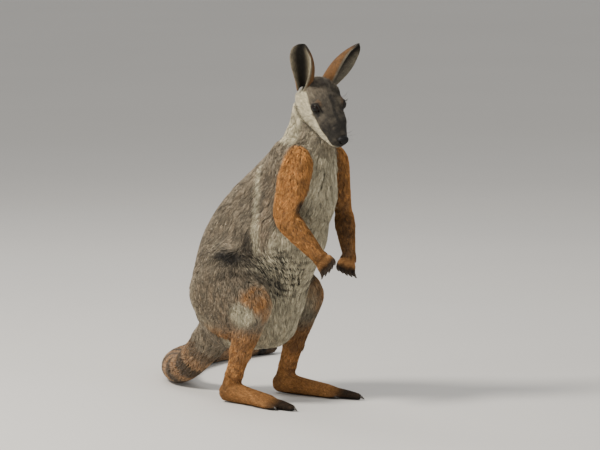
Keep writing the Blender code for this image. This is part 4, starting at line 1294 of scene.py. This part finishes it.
def unwrapped(name, p):
    """Each point's place on a flat map of its own part, in the unit square."""
    side, sign = side_of(name)
    if name in ("trunk", "neck"):
        centre = np.interp(p[:, 2], TRUNK[:, 0], TRUNK[:, 1])
        round_it = np.arctan2(p[:, 0], centre - p[:, 1]) / (2 * math.pi) + 0.5
        low, high = (80, 450) if name == "trunk" else (380, 520)
        return np.stack([round_it, (p[:, 2] - low) / (high - low)], 1)
    if name == "head":
        h = in_head(p)
        return np.stack([np.arctan2(h[:, 0], -h[:, 2]) / (2 * math.pi) + 0.5, (h[:, 1] + 106) / 150], 1)
    if name.startswith("ear"):
        share, across, hollow = ear_place(p, side, sign)
        return np.stack([(across * 0.48 + 0.5 + hollow) / 2, share], 1)
    hip, knee, ankle = LEGS[side]
    shoulder, elbow, wrist, fingers = ARMS[side]
    lines = {
        "tail": TAIL,
        "thigh": (hip + (0, 0, 60), hip, knee, 0.6 * knee + 0.4 * ankle),
        "shank": (knee, ankle),
        "foot": (ankle + (0, 10, 0), ankle + (0, -150, -20)),
        "upper": (shoulder + (0, 0, 30), shoulder, elbow),
        "forearm": (elbow, wrist),
        "hand": (wrist, wrist + 50 * fingers),
    }
    place, turn = round_line(p, lines[name.split("_")[0]])
    return np.stack([turn, place], 1)


def trunk_side(p):
    """Which quarter of the trunk points lie on: 0 front, 1 left, 2 back, 3 right."""
    centre = np.interp(p[:, 2], TRUNK[:, 0], TRUNK[:, 1])
    degrees = np.degrees(np.arctan2(p[:, 0], centre - p[:, 1]))
    return np.where(np.abs(degrees) < 52, 0, np.where(np.abs(degrees) > 128, 2, np.where(degrees > 0, 1, 3)))


def plant(skin, part):
    """Picks the tufts' roots evenly over the skin, as a triangle and a place in it, without what is bare."""
    corner = own(skin.points)[skin.triangles]
    across = np.cross(corner[:, 1] - corner[:, 0], corner[:, 2] - corner[:, 0])
    square_cm = np.linalg.norm(across, axis=1) / 200
    density = DENSITY[part[skin.triangles[:, 0]]] * THINNED
    total = np.cumsum(square_cm * density)
    picks = np.searchsorted(total, np.arange(int(total[-1])) + rng.random(int(total[-1])))
    picks = np.minimum(picks, len(square_cm) - 1)
    a, b = rng.random((2, len(picks)))
    a, b = np.where(a + b > 1, 1 - a, a), np.where(a + b > 1, 1 - b, b)
    weights = np.stack([1 - a - b, a, b], 1)
    p = np.einsum("ij,ijk->ik", weights, corner[picks])
    h = in_head(p)
    bare = (p[:, 2] < 1.2)
    bare |= np.linalg.norm((h - NOSE_AT) / np.array(NOSE_RADII), axis=1) < 1.12
    for _, sign in SIDES:
        bare |= (slit_share(h, sign) < 1.16) & (from_eye(h, sign) < EYE_RADIUS + 6)
    return picks[~bare], weights[~bare]


def grow(skin, part, lie, depth):
    """The centre line of every tuft, from below the skin to its tip, with its width, colours and shades."""
    picks, weights = plant(skin, part)
    corners = skin.triangles[picks]

    def at_root(values):
        return np.einsum("ij,ij...->i...", weights, values[corners])

    normals = skin.normals()
    root, normal, way, deep = (at_root(values) for values in (own(skin.points), normals, lie, depth))
    normal, kind = unit(normal), part[corners[:, 0]]
    count = len(root)
    stray, bend, gather, lock = np.array([HABIT[name] for name in KINDS], float)[kind].T
    length = TUFT_LENGTH[kind] * rng.uniform(0.72, 1.12, count)
    width = TUFT_WIDTH[kind] * rng.uniform(0.75, 1.2, count)
    length, width = trimmed(kind, root, length, width)
    rise = rng.uniform(0.40, 1.0, count)
    swing = bend * (waves(root, 26, 11) + 0.6 * waves(root, 11, 12)) + rng.normal(0, 1, count) * stray
    way = turned(tangent(way, normal), normal, swing)

    tree = BVHTree.FromPolygons(list(map(tuple, own(skin.points))), list(map(tuple, skin.triangles)))
    face_lie = skin_mean(skin, lie)
    middle, tip = np.empty_like(root), np.empty_like(root)
    middle_up, tip_up = np.empty_like(root), np.empty_like(root)
    ahead = root + way * (0.5 * length)[:, None]
    faces = np.empty(count, int)
    for i, point in enumerate(ahead):
        found = tree.find_nearest(point)
        middle[i], middle_up[i], faces[i] = found[0], found[1], found[2]
    shown_at = root * 0.35 + middle * 0.65
    onward = turned(tangent(face_lie[faces], middle_up), middle_up, swing * 1.3)
    onward = np.where((dot(onward, way) > 0.2)[:, None], onward, way)
    ahead = middle + onward * (0.5 * length)[:, None]
    for i, point in enumerate(ahead):
        found = tree.find_nearest(point)
        tip[i], tip_up[i] = found[0], found[1]
    lift = np.minimum(deep, 0.5 * length)
    middle += middle_up * (lift * (0.25 + 0.75 * rise))[:, None]
    tip += tip_up * (lift * (0.15 + 0.85 * rise))[:, None]
    base = root - normal * 0.4

    locks = KDTree(count)
    chosen = rng.random(count) < 100 / (lock ** 2 * DENSITY[kind] * THINNED)
    heads = np.flatnonzero(chosen)
    for i in heads:
        locks.insert(middle[i], int(i))
    locks.balance()
    leader = np.array([locks.find(point)[1] for point in middle])
    near = np.linalg.norm(middle[leader] - middle, axis=1) < 2.2 * lock
    pull = (gather * near)[:, None]
    aim = tip[leader] - tip
    aim -= way * dot(aim, way)[:, None]
    tip += aim * pull
    middle += (aim * pull) * 0.35
    shades = rng.random(count)
    marks = markings(kind, from_own(shown_at))
    marks = np.clip(marks + rng.normal(0, 0.05, marks.shape) * (marks > 0.02), 0, 1)
    return {"line": np.stack([base, middle, tip], 1), "up": normal, "width": width, "kind": kind,
            "root": root, "marks": marks, "shade": rng.random(count), "lock": shades[leader]}


def skin_mean(skin, values):
    return values[skin.triangles].mean(1)


def trimmed(kind, root, length, width):
    """Shorter and finer tufts on the face and round the eyes."""
    h = in_head(root)
    on_head = KINDS[kind] == "head"
    face = 0.42 + 0.58 * smooth(-80, 5, h[:, 1])
    for _, sign in SIDES:
        face = face * (0.45 + 0.55 * smooth(1.1, 2.6, slit_share(h, sign)))
    length = np.where(on_head, length * face, length)
    width = np.where(on_head, width * (0.65 + 0.35 * face), width)
    return length, width


def tuft_mesh(name, coat, chosen, tiles):
    """The chosen tufts as one mesh of closed slim spikes, with their colours and their place on the map."""
    line, up = coat["line"][chosen], coat["up"][chosen]
    kind, half = coat["kind"][chosen], coat["width"][chosen] / 2
    short = np.isin(KINDS, SHORT)[kind]
    blocks = []
    for is_short in (True, False):
        rows = np.flatnonzero(short == is_short)
        if not len(rows):
            continue
        base, middle, tip = line[rows, 0], line[rows, 1], line[rows, 2]
        n = up[rows]
        first = unit(tip - base)
        aside = unit(np.cross(n, first))
        above = np.cross(first, aside)
        wide = half[rows][:, None]
        section = ((-1.0, -0.35), (1.0, -0.35), (0.0, 0.65))
        widest = base if is_short else base * 0.1 + middle * 0.9
        points = [widest + (aside * s + above * t) * wide for s, t in section] + [tip]
        faces = ((0, 1, 3), (1, 2, 3), (2, 0, 3))
        if is_short:
            shares = [0.0, 0.0, 0.0, 1.0]
            faces += ((0, 2, 1),)
        else:
            points.append(base)
            shares = [0.45, 0.45, 0.45, 1.0, 0.0]
            faces += ((1, 0, 4), (2, 1, 4), (0, 2, 4))
        blocks.append((rows, np.stack(points, 1), np.array(faces), np.array(shares)))
    points, triangles, strands, marks, places = [], [], [], [], []
    start = 0
    for rows, block, faces, shares in blocks:
        size = block.shape[1]
        base = start + np.arange(len(rows))[:, None, None] * size
        triangles.append((faces[None] + base).reshape(-1, 3))
        points.append(block.reshape(-1, 3))
        start += len(rows) * size
        picked = chosen[rows]
        strand = np.ones((len(rows), size, 4))
        strand[:, :, 0] = shares
        strand[:, :, 1] = coat["shade"][picked][:, None]
        strand[:, :, 2] = coat["lock"][picked][:, None]
        strands.append(strand.reshape(-1, 4))
        marks.append(np.repeat(coat["marks"][picked], size, axis=0))
        place = np.empty((len(rows), 2))
        for number in np.unique(kind[rows]):
            here = kind[rows] == number
            column, row, across, down = tiles[NAMES[number]]
            flat = np.clip(unwrapped(NAMES[number], coat["root"][picked][here]), 0, 1) * 0.96 + 0.02
            place[here] = (flat + (column, row)) / (across, down)
        patch = np.zeros((size, 2))
        patch[:, 1] = (shares - 0.5) * PATCH
        patch[0:3, 0] = (-PATCH / 2, PATCH / 2, 0)
        places.append((place[:, None] + patch[None]).reshape(-1, 2))
    points = from_own(np.concatenate(points))
    points[:, 2] = np.maximum(points[:, 2], 0.0002)
    mesh = mesh_of(name, points, np.concatenate(triangles))
    set_colour(mesh, "marks", np.concatenate(marks))
    set_colour(mesh, "strand", np.concatenate(strands))
    corners = np.empty(len(mesh.loops), np.int32)
    mesh.loops.foreach_get("vertex_index", corners)
    layer = mesh.uv_layers.new(name="OFBake")
    layer.uv.foreach_set("vector", np.concatenate(places)[corners].astype(np.float32).ravel())
    return mesh


def dress(skin, part, lie, depth, material):
    """Grows the coat and cuts it into its pieces."""
    coat = grow(skin, part, lie, depth)
    quarter = trunk_side(coat["root"])
    for name, (slot, parts, side) in COATS.items():
        chosen = np.isin(coat["kind"], [NAMES.index(p) for p in parts])
        if side:
            chosen &= quarter == ("front", "left", "back", "right").index(side)
        chosen = np.flatnonzero(chosen)
        if not len(chosen):
            continue
        down = 1 if len(parts) == 1 else 2
        across = math.ceil(len(parts) / down)
        tiles = {p: (i % across, i // across, across, down) for i, p in enumerate(parts)}
        mesh = tuft_mesh(name, coat, chosen, tiles)
        print(f"{name}: {len(chosen)} tufts, {len(mesh.polygons)} triangles")
        shown(name, mesh, material, slot)


def skin_piece(skin, part, material):
    """The skin as it shows between the tufts, lightened to the faces its shape needs."""
    mesh = mesh_of("skin", skin.points, skin.triangles)
    set_colour(mesh, "marks", markings(part, skin.points))
    p = own(skin.points)
    shade = 0.5 + 0.35 * waves(p, 3.1, 21)
    # The skin takes the tone of a tuft's lower part: darker underfur, and painted shade between the tufts.
    strand = np.stack([np.full(len(p), 0.42), shade, 0.5 + 0.4 * waves(p, 9, 22), np.ones(len(p))], 1)
    h = in_head(p)
    fleshy = np.zeros(len(p))
    for _, sign in SIDES:
        near = from_eye(h, sign) < EYE_RADIUS + 5
        fleshy = np.maximum(fleshy, smooth(1.22, 1.08, slit_share(h, sign)) * near)
    strand[:, 0] *= 1 - 0.8 * fleshy
    set_colour(mesh, "strand", strand)
    obj = scratch(mesh)
    lighter = obj.modifiers.new("lighter", "DECIMATE")
    lighter.ratio = min(1, 185_000 / len(mesh.polygons))
    final = evaluated(obj)
    bpy.data.objects.remove(obj)
    final.shade_smooth()
    print(f"skin: {len(final.polygons)} faces")
    shown("skin", final, material, "grey_coat", *NAMES)


def make_animal():
    skin, part = build_skin()
    normals = skin.normals()
    lie = lie_of(part, skin.points, normals)
    for _ in range(12):
        lie = tangent(skin.spread(lie, 3), normals)
    depth = skin.spread(depths_at(part, skin.points), 10)
    fur = coat_material("coat")
    skin_piece(skin, part, fur)
    dress(skin, part, lie, depth, fur)
    add_eyes(eye_material(), lid_material())
    add_nose(nose_material())
    add_claws(claw_material())
    add_whiskers(whisker_material())


# ---------------------------------------------------------------- floor, light and the last line
def add_floor():
    """A pale studio floor, level and wide enough to fill the picture from every side."""
    bm = bmesh.new()
    bmesh.ops.create_circle(bm, cap_ends=True, segments=96, radius=16.0)
    mesh = bpy.data.meshes.new("floor")
    bm.to_mesh(mesh)
    bm.free()
    mesh.materials.append(floor_material())
    floor = bpy.data.objects.new("floor", mesh)
    bpy.context.scene.collection.objects.link(floor)


def add_light(name, azimuth, elevation, distance, size, watts, colour):
    _, _, back = look_from(azimuth, elevation)
    data = bpy.data.lights.new(name, "AREA")
    data.shape, data.size, data.energy, data.color = "DISK", size, watts, colour
    light = bpy.data.objects.new(name, data)
    light.location = ORIGIN + Vector((0, 0, 0.3)) + back * distance
    light.rotation_euler = back.to_track_quat("Z", "Y").to_euler()
    bpy.context.scene.collection.objects.link(light)


def add_world():
    world = bpy.data.worlds.new("studio")
    world.use_nodes = True
    background = world.node_tree.nodes["Background"]
    background.inputs["Color"].default_value = (1.0, 0.98, 0.95, 1)
    background.inputs["Strength"].default_value = 0.55
    bpy.context.scene.world = world


make_animal()
add_floor()
add_world()
add_light("key", -108, 48, 3.0, 0.9, 120, (1.0, 0.94, 0.84))
add_light("fill", -20, 30, 3.4, 2.4, 16, (0.95, 0.97, 1.0))
add_light("low", -96, 12, 3.0, 0.45, 14, (1.0, 0.97, 0.92))
add_light("back", 150, 45, 3.0, 1.6, 26, (1.0, 0.97, 0.93))
